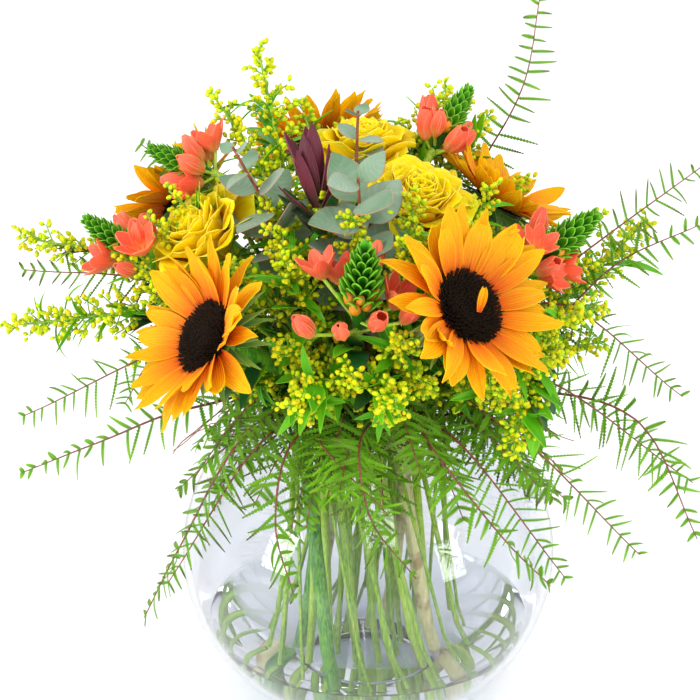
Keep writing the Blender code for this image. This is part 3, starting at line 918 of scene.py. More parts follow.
GLASS = ClearFinish("bowl_glass", (233, 235, 240), 1.5)
WATER = ClearFinish("bowl_water", (248, 251, 252), 1.33)
RAY = BladeFinish("ray_petal", (240, 76, 0), (255, 152, 0), (255, 196, 0), (255, 200, 6), base_end=0.13,
                  edge_share=0.3, other=(255, 176, 0), other_share=0.9, veins=12.0, vein_shade=0.2,
                  relief=0.5, mottle=0.12, spread=0.16, roughness=0.62, gloss=0.2, glow=0.4)
FLORET = BladeFinish("seed_floret", (4, 3, 2), (12, 8, 4), (52, 33, 12), (40, 26, 10), veins=2.0,
                     spread=0.9, mottle=0.6, roughness=0.9)
BRACT = BladeFinish("bract", (70, 120, 30), (92, 150, 34), (150, 176, 60), (120, 150, 50), veins=8.0,
                    vein_shade=0.2, roughness=0.6, sheen=0.2)
THICK_STEM = StemFinish("thick_green_stem", (34, 116, 24), (112, 172, 36), (150, 190, 60))
STRAW_STEM = StemFinish("straw_stem", (212, 204, 130), (238, 228, 172), (150, 106, 50), blotch_share=0.7)
THIN_STEM = StemFinish("thin_green_stem", (92, 148, 22), (164, 200, 50), (196, 206, 90), streaks=1200.0)
PALE_STEM = StemFinish("pale_green_stem", (136, 186, 34), (194, 222, 70), (200, 204, 120), streaks=1200.0)
RED_STEM = StemFinish("red_brown_stem", (120, 52, 40), (170, 90, 60), (90, 60, 30), streaks=1500.0)
ROSE = BladeFinish("rose_petal_yellow", (255, 158, 0), (255, 206, 0), (255, 226, 16), (255, 246, 120),
                   edge_share=0.4, edge_start=0.84, veins=14.0, vein_shade=0.05, relief=0.2, mottle=0.08,
                   spread=0.12, roughness=0.6, gloss=0.2, glow=0.5)
CUP = BladeFinish("coral_tepal", (255, 176, 90), (255, 108, 70), (255, 132, 96), (255, 172, 120),
                  other=(255, 92, 66), edge_share=0.35, veins=8.0, vein_shade=0.08, relief=0.25, mottle=0.1,
                  spread=0.1, roughness=0.45, glow=0.25)
ORANGE_BUD = BladeFinish("orange_bud", (150, 170, 20), (240, 160, 20), (250, 150, 60), (200, 180, 30),
                         veins=6.0, vein_shade=0.08, spread=0.3, roughness=0.45)
GREEN_BUD = BladeFinish("green_bud_scale", (30, 100, 6), (58, 142, 10), (100, 184, 24), (150, 206, 60),
                        edge_share=0.5, edge_start=0.62, veins=6.0, vein_shade=0.12, mottle=0.15, spread=0.35,
                        roughness=0.5)
STAMEN = BladeFinish("stamen", (255, 120, 60), (255, 180, 60), (255, 214, 90), (255, 200, 80), roughness=0.6)
GOLD_BUD = BladeFinish("goldenrod_bud", (112, 192, 4), (236, 236, 0), (250, 206, 0), (222, 228, 10),
                       other=(168, 220, 4), other_share=1.0, edge_share=0.15, veins=7.0, vein_shade=0.15,
                       mottle=0.25, mottle_scale=400.0, spread=0.3, roughness=0.6)
GOLD_LEAF = BladeFinish("goldenrod_leaf", (72, 158, 6), (98, 196, 8), (128, 218, 18), (150, 222, 40),
                        edge_share=0.4, other=(60, 142, 14), veins=3.0, vein_shade=0.12, spread=0.4,
                        roughness=0.5, glow=0.1)
GREY_LEAF = BladeFinish("eucalyptus_leaf", (120, 152, 116), (146, 172, 146), (158, 182, 158), (176, 120, 96),
                        edge_share=0.85, edge_start=0.93, other=(96, 130, 96), veins=3.0, slant=26.0,
                        vein_shade=0.1, mottle=0.22, mottle_scale=240.0, spread=0.3, roughness=0.6,
                        sheen=0.15)
WINE_LEAF = BladeFinish("leucadendron_bract", (72, 52, 40), (104, 36, 52), (88, 26, 44), (150, 70, 84),
                        edge_share=0.5, edge_start=0.9, veins=10.0, vein_shade=0.15, mottle=0.3, spread=0.5,
                        roughness=0.45)
DARK_LEAF = BladeFinish("dark_leaf", (16, 66, 26), (24, 84, 34), (36, 100, 38), (120, 70, 50), edge_share=0.5,
                        edge_start=0.92, veins=3.0, slant=22.0, vein_shade=0.2, spread=0.5, roughness=0.4)
FERN = BladeFinish("fern_leaflet", (84, 146, 12), (116, 188, 12), (146, 212, 26), (160, 216, 40),
                   edge_share=0.3, other=(70, 84, 30), veins=4.0, vein_shade=0.2, mottle=0.25, spread=0.3,
                   roughness=0.6)
FILAMENT = StemFinish("fern_rachis", (96, 44, 34), (150, 84, 70), (70, 40, 26), streaks=1500.0)


# ---------------------------------------------------------------- templates

@dataclass
class Kit:
    """Every small shape that is modelled once and copied many times."""

    rays: list[Shape] = field(default_factory=list)
    floret: Shape | None = None
    bristle: Shape | None = None
    dome: Shape | None = None
    bract: Shape | None = None
    rose_petal: Shape | None = None
    tepal: Shape | None = None
    bud: Shape | None = None
    scale: Shape | None = None
    gold_bud: Shape | None = None
    lance: Shape | None = None
    round_leaf: Shape | None = None
    wine_leaf: Shape | None = None
    leaflet: Shape | None = None

    def model(self) -> "Kit":
        """Model every shape.
        """
        broad = (0.40, 0.58, 0.76, 0.90, 0.98, 1.0, 0.97, 0.88, 0.72, 0.46, 0.10)
        slim = (0.42, 0.60, 0.80, 0.94, 1.0, 0.98, 0.90, 0.76, 0.56, 0.32, 0.06)
        blunt = (0.40, 0.56, 0.72, 0.86, 0.95, 1.0, 1.0, 0.96, 0.86, 0.66, 0.34)
        self.rays = [
            Blade(0.040, 0.0112, broad, 8, 12, 0.10, 0.035, 2.5).shape(),
            Blade(0.041, 0.0096, slim, 8, 12, 0.16, 0.035, 2.5).shape(),
            Blade(0.037, 0.0120, blunt, 8, 12, 0.08, 0.040, 2.0, notch=0.05).shape(),
        ]
        self.bract = Blade(0.030, 0.0085, (0.9, 1.0, 0.95, 0.8, 0.6, 0.38, 0.2, 0.06), 4, 8, 0.18,
                           thickness=0.0006).shape()
        self.rose_petal = Blade(0.030, 0.032, (0.30, 0.58, 0.80, 0.94, 1.0, 1.0, 0.94, 0.82, 0.62), 10, 9,
                                0.06).shape()
        self.tepal = Blade(0.0195, 0.0112, (0.34, 0.66, 0.88, 1.0, 1.0, 0.88, 0.62, 0.22), 6, 8, 0.06,
                           0.015, 1.0, thickness=0.0006).shape()
        self.scale = Blade(0.0125, 0.0086, (0.7, 0.95, 1.0, 0.9, 0.66, 0.14), 6, 6, 0.10,
                           thickness=0.0007).shape()
        self.lance = Blade(0.026, 0.0058, (0.22, 0.62, 0.92, 1.0, 0.92, 0.72, 0.46, 0.08), 4, 8, 0.14,
                           thickness=0.0003).shape()
        self.round_leaf = Blade(0.028, 0.0225, (0.14, 0.72, 0.95, 1.0, 0.96, 0.84, 0.64, 0.38, 0.04), 8, 10,
                                0.05).shape()
        self.wine_leaf = Blade(0.042, 0.0118, (0.5, 0.72, 0.9, 1.0, 1.0, 0.92, 0.76, 0.5, 0.08), 6, 9, 0.14,
                               thickness=0.0007).shape()
        self.leaflet = Blade(0.030, 0.0044, (0.7, 0.95, 1.0, 0.98, 0.9, 0.78, 0.58, 0.3), 2, 25, 0.10,
                             thickness=0.0003, teeth=0.68).shape()
        self.model_solids()
        return self

    def model_solids(self) -> None:
        """Model the florets, buds and domes from round primitives."""
        blank = Blank(bpy.ops.mesh.primitive_cone_add, vertices=5, radius1=0.0006, radius2=0.0005,
                      depth=0.004, end_fill_type="NGON", location=(0, 0, 0.002))
        blank.pick(lambda co: co.z > 0.003).resize(1.7, 1.7, 1.0, (0, 0, 0.004)).extrude(z=-0.0012)
        blank.resize(0.45, 0.45, 1.0, (0, 0, 0.0028))
        self.floret = blank.done().placed_along().laid()
        blank = Blank(bpy.ops.mesh.primitive_cone_add, vertices=3, radius1=0.00045, radius2=0.0, depth=0.006,
                      location=(0, 0, 0.003))
        self.bristle = blank.done().placed_along().laid()
        blank = Blank(bpy.ops.mesh.primitive_uv_sphere_add, segments=24, ring_count=12, radius=1.0)
        blank.pick(lambda co: co.z < -0.01).resize(1.0, 1.0, 0.15)
        self.dome = blank.done().placed_along().laid()
        blank = Blank(bpy.ops.mesh.primitive_uv_sphere_add, segments=8, ring_count=6, radius=0.0042,
                      location=(0, 0, 0.0065))
        blank.pick(lambda co: True).resize(1.0, 1.0, 1.55, (0, 0, 0.0065))
        blank.pick(lambda co: co.z > 0.0115).resize(0.7, 0.7, 1.0, (0, 0, 0))
        self.bud = blank.done().placed_along().laid()
        blank = Blank(bpy.ops.mesh.primitive_uv_sphere_add, segments=5, ring_count=5, radius=0.0016,
                      location=(0, 0, 0.0026))
        blank.pick(lambda co: True).resize(1.0, 1.0, 1.5, (0, 0, 0.0026))
        blank.pick(lambda co: co.z < 0.0018).resize(0.6, 0.6, 1.0, (0, 0, 0))
        self.gold_bud = blank.done().placed_along().laid()


# ---------------------------------------------------------------- the frame

@dataclass
class Stalk:
    """A stem's centreline and thickness, read off its CAD node ring by ring from the cut foot."""

    points: np.ndarray
    radii: np.ndarray
    cloud: np.ndarray

    @classmethod
    @functools.cache
    def read(cls, node: str) -> "Stalk":
        """Walk a CAD node's mesh upwards from its cut foot.

        Args:
            node: the node's name.

        Returns:
            Its rings' centres and mean radii, with all its points.
        """
        mesh = frame["nodes"][node].data
        spots = coordinates(mesh)
        _, first, same = np.unique(np.round(spots, 6), axis=0, return_index=True, return_inverse=True)
        spots, same = spots[first], same.reshape(-1)
        faces = [[int(same[v]) for v in face.vertices] for face in mesh.polygons]
        joined: dict[int, set[int]] = {}
        for face in faces:
            for corner in face:
                joined.setdefault(corner, set()).update(face)
        lowest = spots[:, 2].min()
        ring = {corner for face, data in zip(faces, mesh.polygons) for corner in face
                if data.normal.z < -0.7 and spots[face, 2].max() < lowest + 0.012}
        seen, rings = set(ring), []
        while ring:
            rings.append(sorted(ring))
            ring = {near for corner in ring for near in joined[corner]} - seen
            seen |= ring
        centres = np.array([spots[ring].mean(0) for ring in rings])
        radii = np.array([np.linalg.norm(spots[ring] - centre, axis=1).mean()
                          for ring, centre in zip(rings, centres)])
        return cls(centres, radii, spots)

    @property
    def end_way(self) -> np.ndarray:
        """The direction in which the stalk ends."""
        return unit(self.points[-1] - self.points[-2])

    @property
    def low_part(self) -> float:
        """How long the stalk is up to the collar."""
        return float(lengths_along(self.points)[int(np.argmax(self.points[:, 2] > collar()[2]))])


def collar() -> np.ndarray:
    """The middle of the bowl's mouth, where the stems are held together."""
    return np.array((0.0, 0.0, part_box("vase")[1].z))


def around(axis: np.ndarray, turn: float) -> np.ndarray:
    """A direction square to an axis, this far round it from the most level one.

    Args:
        axis: the axis.
        turn: the angle round it, in radians.

    Returns:
        The unit direction.
    """
    level = np.cross(axis, UP)
    if np.linalg.norm(level) < 1e-3:
        level = np.array((1.0, 0.0, 0.0))
    level = unit(level)
    return level * math.cos(turn) + np.cross(unit(axis), level) * math.sin(turn)


# ---------------------------------------------------------------- bowl

@dataclass
class Bowl:
    """The blown glass bowl and its water, turned to the curves of the CAD solids."""

    steps: int = 128
    lip: float = 0.0022
    meniscus: float = 0.0012
    gap: float = 0.0003

    def build(self) -> None:
        """Turn the glass and the water."""
        outer, inner = self.wall(1.0), self.wall(-1.0)
        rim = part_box("vase")[1].z - self.lip
        floor = float(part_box("water")[0].z) - self.gap
        level = float(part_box("water")[1].z)
        glass, water = self.glass_line(outer, inner, rim, floor), self.water_line(inner, floor, level)
        self.turn("glass_bowl", glass, GLASS, Slot.GLASS, "vase")
        self.turn("bowl_water", water, WATER, Slot.WATER, "water")

    @staticmethod
    def wall(side: float) -> Callable[[np.ndarray], np.ndarray]:
        """Fit the round wall through the CAD glass.

        Args:
            side: 1 for the outer wall, -1 for the inner one.

        Returns:
            A function that gives the wall's radius at a height.
        """
        mesh = frame["nodes"]["vase"].data
        corners = []
        for face in mesh.polygons:
            flat = np.array((face.center.x, face.center.y))
            if side * (flat @ np.array(face.normal[:2])) / max(np.linalg.norm(flat), 1e-9) > 0.35:
                corners += list(face.vertices)
        spots = coordinates(mesh)[corners]
        across = np.hypot(spots[:, 0], spots[:, 1])
        rows = np.stack([np.ones(len(spots)), spots[:, 2], spots[:, 2] ** 2], 1)
        fit = np.linalg.lstsq(rows, across**2, rcond=None)[0]
        return lambda z: np.sqrt(np.maximum(fit[0] + fit[1] * z + fit[2] * z * z, 0.0))

    def glass_line(self, outer: Callable, inner: Callable, rim: float, floor: float) -> np.ndarray:
        """Half the glass's section.

        Args:
            outer: radius of the outer wall at a height.
            inner: radius of the inner wall at a height.
            rim: height where the walls end in the lip.
            floor: height of the inner floor.

        Returns:
            Points of radius and height, from the foot's middle round to the floor's middle.
        """
        share = (1 - np.cos(np.linspace(0, math.pi, 40))) / 2
        up = rim * share
        down = floor + 0.002 + (rim - floor - 0.002) * share[::-1]
        outside = np.stack([outer(up), up], 1)
        inside = np.stack([inner(down), down], 1)
        middle = (outside[-1] + inside[0]) / 2
        half = np.linalg.norm(outside[-1] - inside[0]) / 2
        turns = np.linspace(0.2, math.pi - 0.2, 7)
        round_lip = middle + np.stack([half * 1.15 * np.cos(turns), self.lip * np.sin(turns)], 1)
        foot = np.array([[0.0, 0.0015], [outside[0, 0] - 0.006, 0.0015], [outside[0, 0] - 0.004, 0.0]])
        bed = np.array([[inside[-1, 0] - 0.004, floor], [0.0, floor]])
        return np.vstack([foot, outside, round_lip, inside, bed])

    def water_line(self, inner: Callable, floor: float, level: float) -> np.ndarray:
        """Half the water's section, with its edge drawn up the glass.

        Args:
            inner: radius of the inner wall at a height.
            floor: height of the inner floor.
            level: height of the water's edge.

        Returns:
            Points of radius and height, from the bottom to the middle of the top.
        """
        heights = np.linspace(floor + 0.003, level, 24)
        side = np.stack([inner(heights) - self.gap, heights], 1)
        reach = side[-1, 0]
        top = [(reach - inwards, level - self.meniscus * (1 - math.exp(-inwards / 0.002)))
               for inwards in (0.001, 0.003, 0.007)]
        return np.vstack([[(0.0, floor + self.gap)], [(side[0, 0] - 0.005, floor + self.gap)], side, top,
                          [(0.0, level - self.meniscus)]])

    def turn(self, name: str, line: np.ndarray, finish: Finish, slot: Slot, node: str) -> None:
        """Spin a section about the upright axis into a closed piece.

        Args:
            name: the piece's name.
            line: the section, in radius and height.
            finish: its finish.
            slot: its material slot.
            node: the CAD node that it stands for.
        """
        mesh = bpy.data.meshes.new(name)
        points = [(radius, 0.0, height) for radius, height in line]
        mesh.from_pydata(points, [(i, i + 1) for i in range(len(points) - 1)], [])
        piece = on_bench(name, mesh)
        bpy.ops.object.mode_set(mode="EDIT")
        bpy.ops.mesh.select_all(action="SELECT")
        bpy.ops.mesh.spin(steps=self.steps, angle=math.tau, center=(0, 0, 0), axis=(0, 0, 1))
        close_seams(1e-6)
        shape = Shape.taken_from(piece)
        made = Gathering(name)
        made.add(shape, shape.points)
        made.piece([finish], slot, node, sharp=40.0)


# ---------------------------------------------------------------- flowers

@dataclass
class Sunflower:
    """One head: two whorls of rays, a bed of florets, a cup of bracts, and its stem."""

    plant: str
    kit: Kit
    seed: int
    stem: Finish = THICK_STEM
    whorls: tuple[tuple[int, float, float], ...] = ((17, 1.06, 0.20), (16, 1.02, 0.44))
    loose: bool = False
    cup_radius: float = 0.023
    ray_ring: float = 0.0175
    disc_radius: float = 0.0205
    disc_height: float = 0.0062
    florets: int = 430
    size: float = field(init=False)
    centre: np.ndarray = field(init=False)
    facing: np.ndarray = field(init=False)
    inward: np.ndarray = field(init=False)

    def build(self) -> None:
        """Build the head on the stem that the frame gives."""
        rng = np.random.default_rng(self.seed)
        stalk = Stalk.read(f"{self.plant}_stem")
        self.size = stalk.radii[-1] / self.cup_radius
        self.centre, self.facing = stalk.points[-1], stalk.end_way
        self.inward = unit(collar() + UP * 0.06 - self.centre)
        self.build_rays(rng)
        self.build_disc(rng)
        self.build_cup(rng, stalk)

    def build_rays(self, rng: np.random.Generator) -> None:
        """Set the whorls of rays, lifted where the bunch presses on them.

        Args:
            rng: the piece's own random draws.
        """
        made = Gathering(f"{self.plant}_petals")
        for count, reach, lift in self.whorls:
            start = rng.uniform(0, math.tau)
            for i in range(count):
                turn = start + math.tau * (i + rng.uniform(-0.28, 0.28)) / count
                out = around(self.facing, turn)
                rise = lift + rng.uniform(-0.14, 0.16) + 0.42 * max(0.0, float(out @ self.inward))
                forward, up = leaned(out, self.facing, rise), leaned(self.facing, -out, rise)
                scale = self.size * reach * rng.uniform(0.88, 1.06)
                made.set(self.kit.rays[int(rng.integers(3))], self.centre + out * self.ray_ring * self.size
                         + self.facing * (0.001 + 0.006 * lift), forward, up,
                         (scale * rng.uniform(1.12, 1.45), scale, scale), rng.uniform(0, 1),
                         curl=rng.normal(0.05, 0.30) + 0.7 * max(0.0, float(out @ self.inward)), power=1.6,
                         twist=rng.normal(0, 0.3), wave=0.0009, phase=rng.uniform(0, 6))
        if self.loose:
            out = around(self.facing, -2.0)
            made.set(self.kit.rays[2], self.centre + self.facing * 0.0135 - out * 0.006,
                     out + self.facing * 0.25, self.facing, (0.62, 0.40, 1.0), 0.9, curl=0.5, wrap=0.008)
        made.piece([RAY], Slot.RAY, f"{self.plant}_rays")

    def build_disc(self, rng: np.random.Generator) -> None:
        """Set florets on a low dome in a sunflower's spiral, shaggy towards the rim.

        Args:
            rng: the piece's own random draws.
        """
        made = Gathering(f"{self.plant}_seed_disc")
        radius, height = self.disc_radius * self.size, self.disc_height * self.size
        base = self.centre + self.facing * 0.002
        made.set(self.kit.dome, base, self.facing, around(self.facing, 0.0), (radius, height, radius), 0.0)
        for i in range(self.florets):
            share = math.sqrt((i + 0.5) / self.florets)
            out = around(self.facing, i * GOLDEN_ANGLE)
            lean = 0.75 * share**3 + rng.normal(0, 0.09)
            rise = height * math.sqrt(max(0.0, 1 - share**2)) * 0.9
            spot = base + out * radius * share + self.facing * rise
            tall = 0.55 + 0.75 * share**2 + rng.uniform(-0.1, 0.1)
            made.set(self.kit.floret, spot, leaned(self.facing, out, lean), out, (1.0, tall, 1.0),
                     rng.uniform(0, 0.7) * share)
        for i in range(self.florets):
            share = math.sqrt(rng.uniform(0.25, 1.0))
            out = around(self.facing, rng.uniform(0, math.tau))
            lean = 1.05 * share**4 + rng.normal(0, 0.22)
            spot = base + out * radius * share + self.facing * height * 0.55
            made.set(self.kit.bristle, spot, leaned(self.facing, out, lean), out,
                     (1.0, rng.uniform(0.8, 1.25), 1.0), rng.uniform(0, 1))
        made.piece([FLORET], Slot.DISC, f"{self.plant}_disc")

    def build_cup(self, rng: np.random.Generator, stalk: Stalk) -> None:
        """Make the stem, the round back of the head and its pointed bracts.

        Args:
            rng: the piece's own random draws.
            stalk: the stem's line.
        """
        made = Gathering(f"{self.plant}_stalk_and_bracts")
        radius = self.disc_radius * self.size
        made.set(self.kit.dome, self.centre, -self.facing, around(self.facing, 0.0), (radius, 0.012, radius),
                 0.4, 1)
        for row, (count, lift) in enumerate(((14, -0.10), (13, -0.34))):
            for i in range(count):
                out = around(self.facing, math.tau * (i + 0.5 * row + rng.uniform(-0.2, 0.2)) / count)
                rise = lift + rng.uniform(-0.12, 0.12)
                made.set(self.kit.bract, self.centre + out * radius * (0.72 - 0.14 * row)
                         - self.facing * (0.002 + 0.004 * row), leaned(out, self.facing, rise), self.facing,
                         self.size * rng.uniform(0.75, 1.0), rng.uniform(0, 1), 1,
                         curl=rng.normal(-0.1, 0.35), twist=rng.normal(0, 0.2))
        path = smoothed(stalk.points[:-3])
        path = np.vstack([path, self.centre - self.facing * 0.006])
        widths = np.full(len(path), stalk.radii[1])
        widths[-3:] *= (1.15, 1.4, 1.9)
        made.stalks([(path, widths)], 12)
        made.piece([self.stem, BRACT], Slot.SUNFLOWER_STEM, f"{self.plant}_stem")


@dataclass
class Rose:
    """One full rose: petals wrapped in a spiral and opening outwards, sepals, and its stem."""

    plant: str
    kit: Kit
    seed: int
    petals: int = 42
    sepals: int = 5

    def build(self) -> None:
        """Build the bloom on the stem that the frame gives."""
        rng = np.random.default_rng(self.seed)
        stalk = Stalk.read(f"{self.plant}_stem")
        base, facing = stalk.points[-1], stalk.end_way
        height, reach = head_extent(f"{self.plant}_bloom", base, facing)
        made = Gathering(f"{self.plant}_petals")
        for i in range(self.petals):
            share = i / (self.petals - 1)
            out = around(facing, i * GOLDEN_ANGLE + rng.normal(0, 0.12))
            lean = -0.12 + 0.98 * share**1.4 + rng.normal(0, 0.04)
            forward = leaned(facing, out, lean)
            tall = height * (0.74 + 0.20 * share) * rng.uniform(0.95, 1.05) / 0.030
            wide = (0.60 + 0.78 * share**0.6) * reach / 0.0295
            foot = base + out * (0.0012 + 0.006 * share) + facing * (0.010 * (1 - share))
            made.set(self.kit.rose_petal, foot, forward, -out, (wide, tall * (0.86 + 0.1 * share), 1.0),
                     rng.uniform(0, 1), curl=-0.15 - 0.95 * share**1.3 + rng.normal(0, 0.1), power=2.6,
                     wrap=0.0050 + 0.0230 * share, wave=0.0004 + 0.0007 * share, phase=rng.uniform(0, 6))
        made.piece([ROSE], Slot.ROSE, f"{self.plant}_bloom")
        green = Gathering(f"{self.plant}_stalk_and_sepals")
        for i in range(self.sepals):
            out = around(facing, math.tau * i / self.sepals + 0.4)
            green.set(self.kit.lance, base, out * 0.9 + facing * 0.35, facing, (1.2, 0.95, 1.0), 0.4, 1,
                      curl=rng.normal(0.3, 0.4))
        path = smoothed(stalk.points)
        green.stalks([(path, np.full(len(path), stalk.radii[1]))], 10)
        green.piece([THIN_STEM, GOLD_LEAF], Slot.ROSE_STEM, f"{self.plant}_stem")


def head_extent(node: str, base: np.ndarray, facing: np.ndarray) -> tuple[float, float]:
    """Height and greatest radius of a CAD head above its base, along its own axis."""
    spots = coordinates(frame["nodes"][node].data) - base
    up = spots @ facing
    return float(up.max()), float(np.linalg.norm(spots - np.outer(up, facing), axis=1).max())


@dataclass
class Ornithogalum:
    """One raceme: open cups on short stalks, swelling buds, and a tight spike of green scales."""

    plant: str
    kit: Kit
    seed: int
    cups: int = 8
    buds: int = 9
    scales: int = 58
    spread: float = 1.0
    tepals: int = 6
    usual_height: float = 0.056
    spike_radius: float = 0.0048

    def build(self) -> None:
        """Build the raceme on the stem that the frame gives."""
        rng = np.random.default_rng(self.seed)
        stalk = Stalk.read(f"{self.plant}_stem")
        base, facing = stalk.points[-1], stalk.end_way
        height, _ = head_extent(f"{self.plant}_raceme", base, facing)
        size = height / self.usual_height
        flowers = Gathering(f"{self.plant}_cups")
        green = Gathering(f"{self.plant}_spike_and_stalk")
        twigs = [(smoothed(stalk.points), stalk.radii[1])]
        for i in range(self.cups):
            out = around(facing, i * GOLDEN_ANGLE + rng.uniform(-0.3, 0.3))
            start = base + facing * (0.012 * i / self.cups - 0.006) * size
            way = unit(out * rng.uniform(0.9, 1.3) + facing * rng.uniform(0.3, 0.8))
            stalk_end = start + way * rng.uniform(0.009, 0.021) * size * self.spread
            twigs.append((np.array([start - facing * 0.004, start, stalk_end]), 0.0011))
            self.cup(flowers, stalk_end, unit(way + facing * 0.8 + UP * 0.3), rng.uniform(0.95, 1.16), rng)
        for i in range(self.buds):
            out = around(facing, 1.0 + i * GOLDEN_ANGLE)
            start = base + facing * (0.008 + 0.008 * i / self.buds) * size
            way = unit(out + facing * 0.9)
            twigs.append((np.array([start - out * 0.002, start + way * 0.008 * size]), 0.0009))
            green.set(self.kit.bud, start + way * 0.006 * size, unit(way + facing), out,
                      size * rng.uniform(0.6, 0.85), rng.uniform(0, 1), 2)
        spike, tall = base + facing * 0.014 * size, height - 0.022 * size
        for i in range(self.scales):
            share = i / (self.scales - 1)
            out = around(facing, i * GOLDEN_ANGLE)
            wide = self.spike_radius * size * math.cos(share**1.8 * 1.4)
            green.set(self.kit.scale, spike + out * wide + facing * share * tall,
                      leaned(facing, out, 0.34 - 0.30 * share), out,
                      size * (0.92 - 0.4 * share), rng.uniform(0, 1), 1, curl=0.75, wrap=0.0052)
        green.stalks([(path, np.full(len(path), wide)) for path, wide in twigs], 8)
        core = np.linspace(base - facing * 0.002, spike + facing * tall * 0.97, 8)
        green.stalks([(core, self.spike_radius * size * np.sin(np.linspace(0.5, 2.75, 8)))], 10, 0.2, 1)
        flowers.piece([CUP, STAMEN], Slot.CUP, f"{self.plant}_raceme")
        green.piece([PALE_STEM, GREEN_BUD, ORANGE_BUD], Slot.CUP_STEM, f"{self.plant}_stem")

    def cup(self, made: Gathering, base: np.ndarray, facing: np.ndarray, size: float,
            rng: np.random.Generator) -> None:
        """Add one cup of six tepals round its stamens.

        Args:
            made: the piece that it is added to.
            base: where its stalk ends.
            facing: where it opens.
            size: its size.
            rng: the raceme's own random draws.
        """
        lean, curl = ((0.66, 1.25), (0.70, 1.12), (0.92, 0.55))[int(rng.integers(3))]
        for i in range(self.tepals):
            out = around(facing, math.tau * i / self.tepals + rng.normal(0, 0.05))
            made.set(self.kit.tepal, base + out * 0.001, leaned(facing, out, lean), -out,
                     size * (1.0 if i % 2 else 0.95), rng.uniform(0, 1), curl=curl, power=0.9,
                     wrap=0.0075 * size)
        for i in range(self.tepals):
            out = around(facing, math.tau * (i + 0.5) / self.tepals)
            made.set(self.kit.bristle, base + out * 0.002, facing + out * 0.35, out, (1.2, 1.4 * size, 1.2),
                     rng.uniform(0, 1), 1)


@dataclass
class Goldenrod:
    """One spray: side twigs crowded with small buds, and slim leaves below them."""

    plant: str
    kit: Kit
    seed: int
    twigs: int = 24
    leaves: int = 16
    plume: float = 0.090
    reach_out: float = 0.021
    bud_gap: float = 0.0021
    tip_bud_gap: float = 0.0024

    def build(self) -> None:
        """Build the spray along the plume that the frame gives."""
        made = Gathering(f"{self.plant}_spray")
        self.add_to(made, smoothed(Stalk.read(self.plant).points), np.random.default_rng(self.seed))
        made.piece([THIN_STEM, GOLD_BUD, GOLD_LEAF], Slot.GOLDENROD, self.plant)

    def add_to(self, made: Gathering, path: np.ndarray, rng: np.random.Generator) -> None:
        """Add the spray along a path.

        Args:
            made: the piece that it is added to.
            path: its stem, which ends at its tip.
            rng: the piece's own random draws.
        """
        reach, plume = lengths_along(path)[-1], self.plume
        wood = [(path, np.interp(lengths_along(path), (0, reach - plume, reach), (0.0019, 0.0015, 0.0006)))]
        for i in range(self.twigs):
            share = (i + rng.uniform(0.1, 0.9)) / self.twigs
            spot, way = at_length(path, reach - plume * (1 - share))
            out = around(way, i * GOLDEN_ANGLE)
            length = self.reach_out * (1 - share) ** 0.6 * rng.uniform(0.7, 1.15) + 0.004
            twig = arc(spot, way * rng.uniform(0.5, 1.1) + out, length, rng.uniform(-0.002, 0.003), 6)
            wood.append((twig, np.linspace(0.0006, 0.0004, 6)))
            for mark in np.arange(0.002, length + 0.0015, self.bud_gap):
                self.bud(made, twig, min(mark, length), rng)
        for mark in np.arange(reach - plume * 0.45, reach, self.tip_bud_gap):
            self.bud(made, path, mark, rng)
        for _ in range(self.leaves):
            spot, way = at_length(path, reach - plume * 1.35 + plume * 1.1 * rng.uniform(0, 1) ** 0.8)
            out = around(way, rng.uniform(0, math.tau))
            made.set(self.kit.lance, spot, out + way * rng.uniform(0.2, 1.0), way, rng.uniform(0.55, 1.05),
                     rng.uniform(0, 0.7), 2, curl=rng.normal(-0.5, 0.4), twist=rng.normal(0, 0.3))
        made.stalks(wood, 6)

    def bud(self, made: Gathering, path: np.ndarray, walked: float, rng: np.random.Generator) -> None:
        """Add one bud beside a twig."""
        spot, way = at_length(path, walked)
        out = around(way, rng.uniform(0, math.tau))
        made.set(self.kit.gold_bud, spot + out * 0.0006, unit(out + way * rng.uniform(0.3, 1.1)), way,
                 rng.uniform(0.72, 1.08), rng.uniform(0, 1), 1)


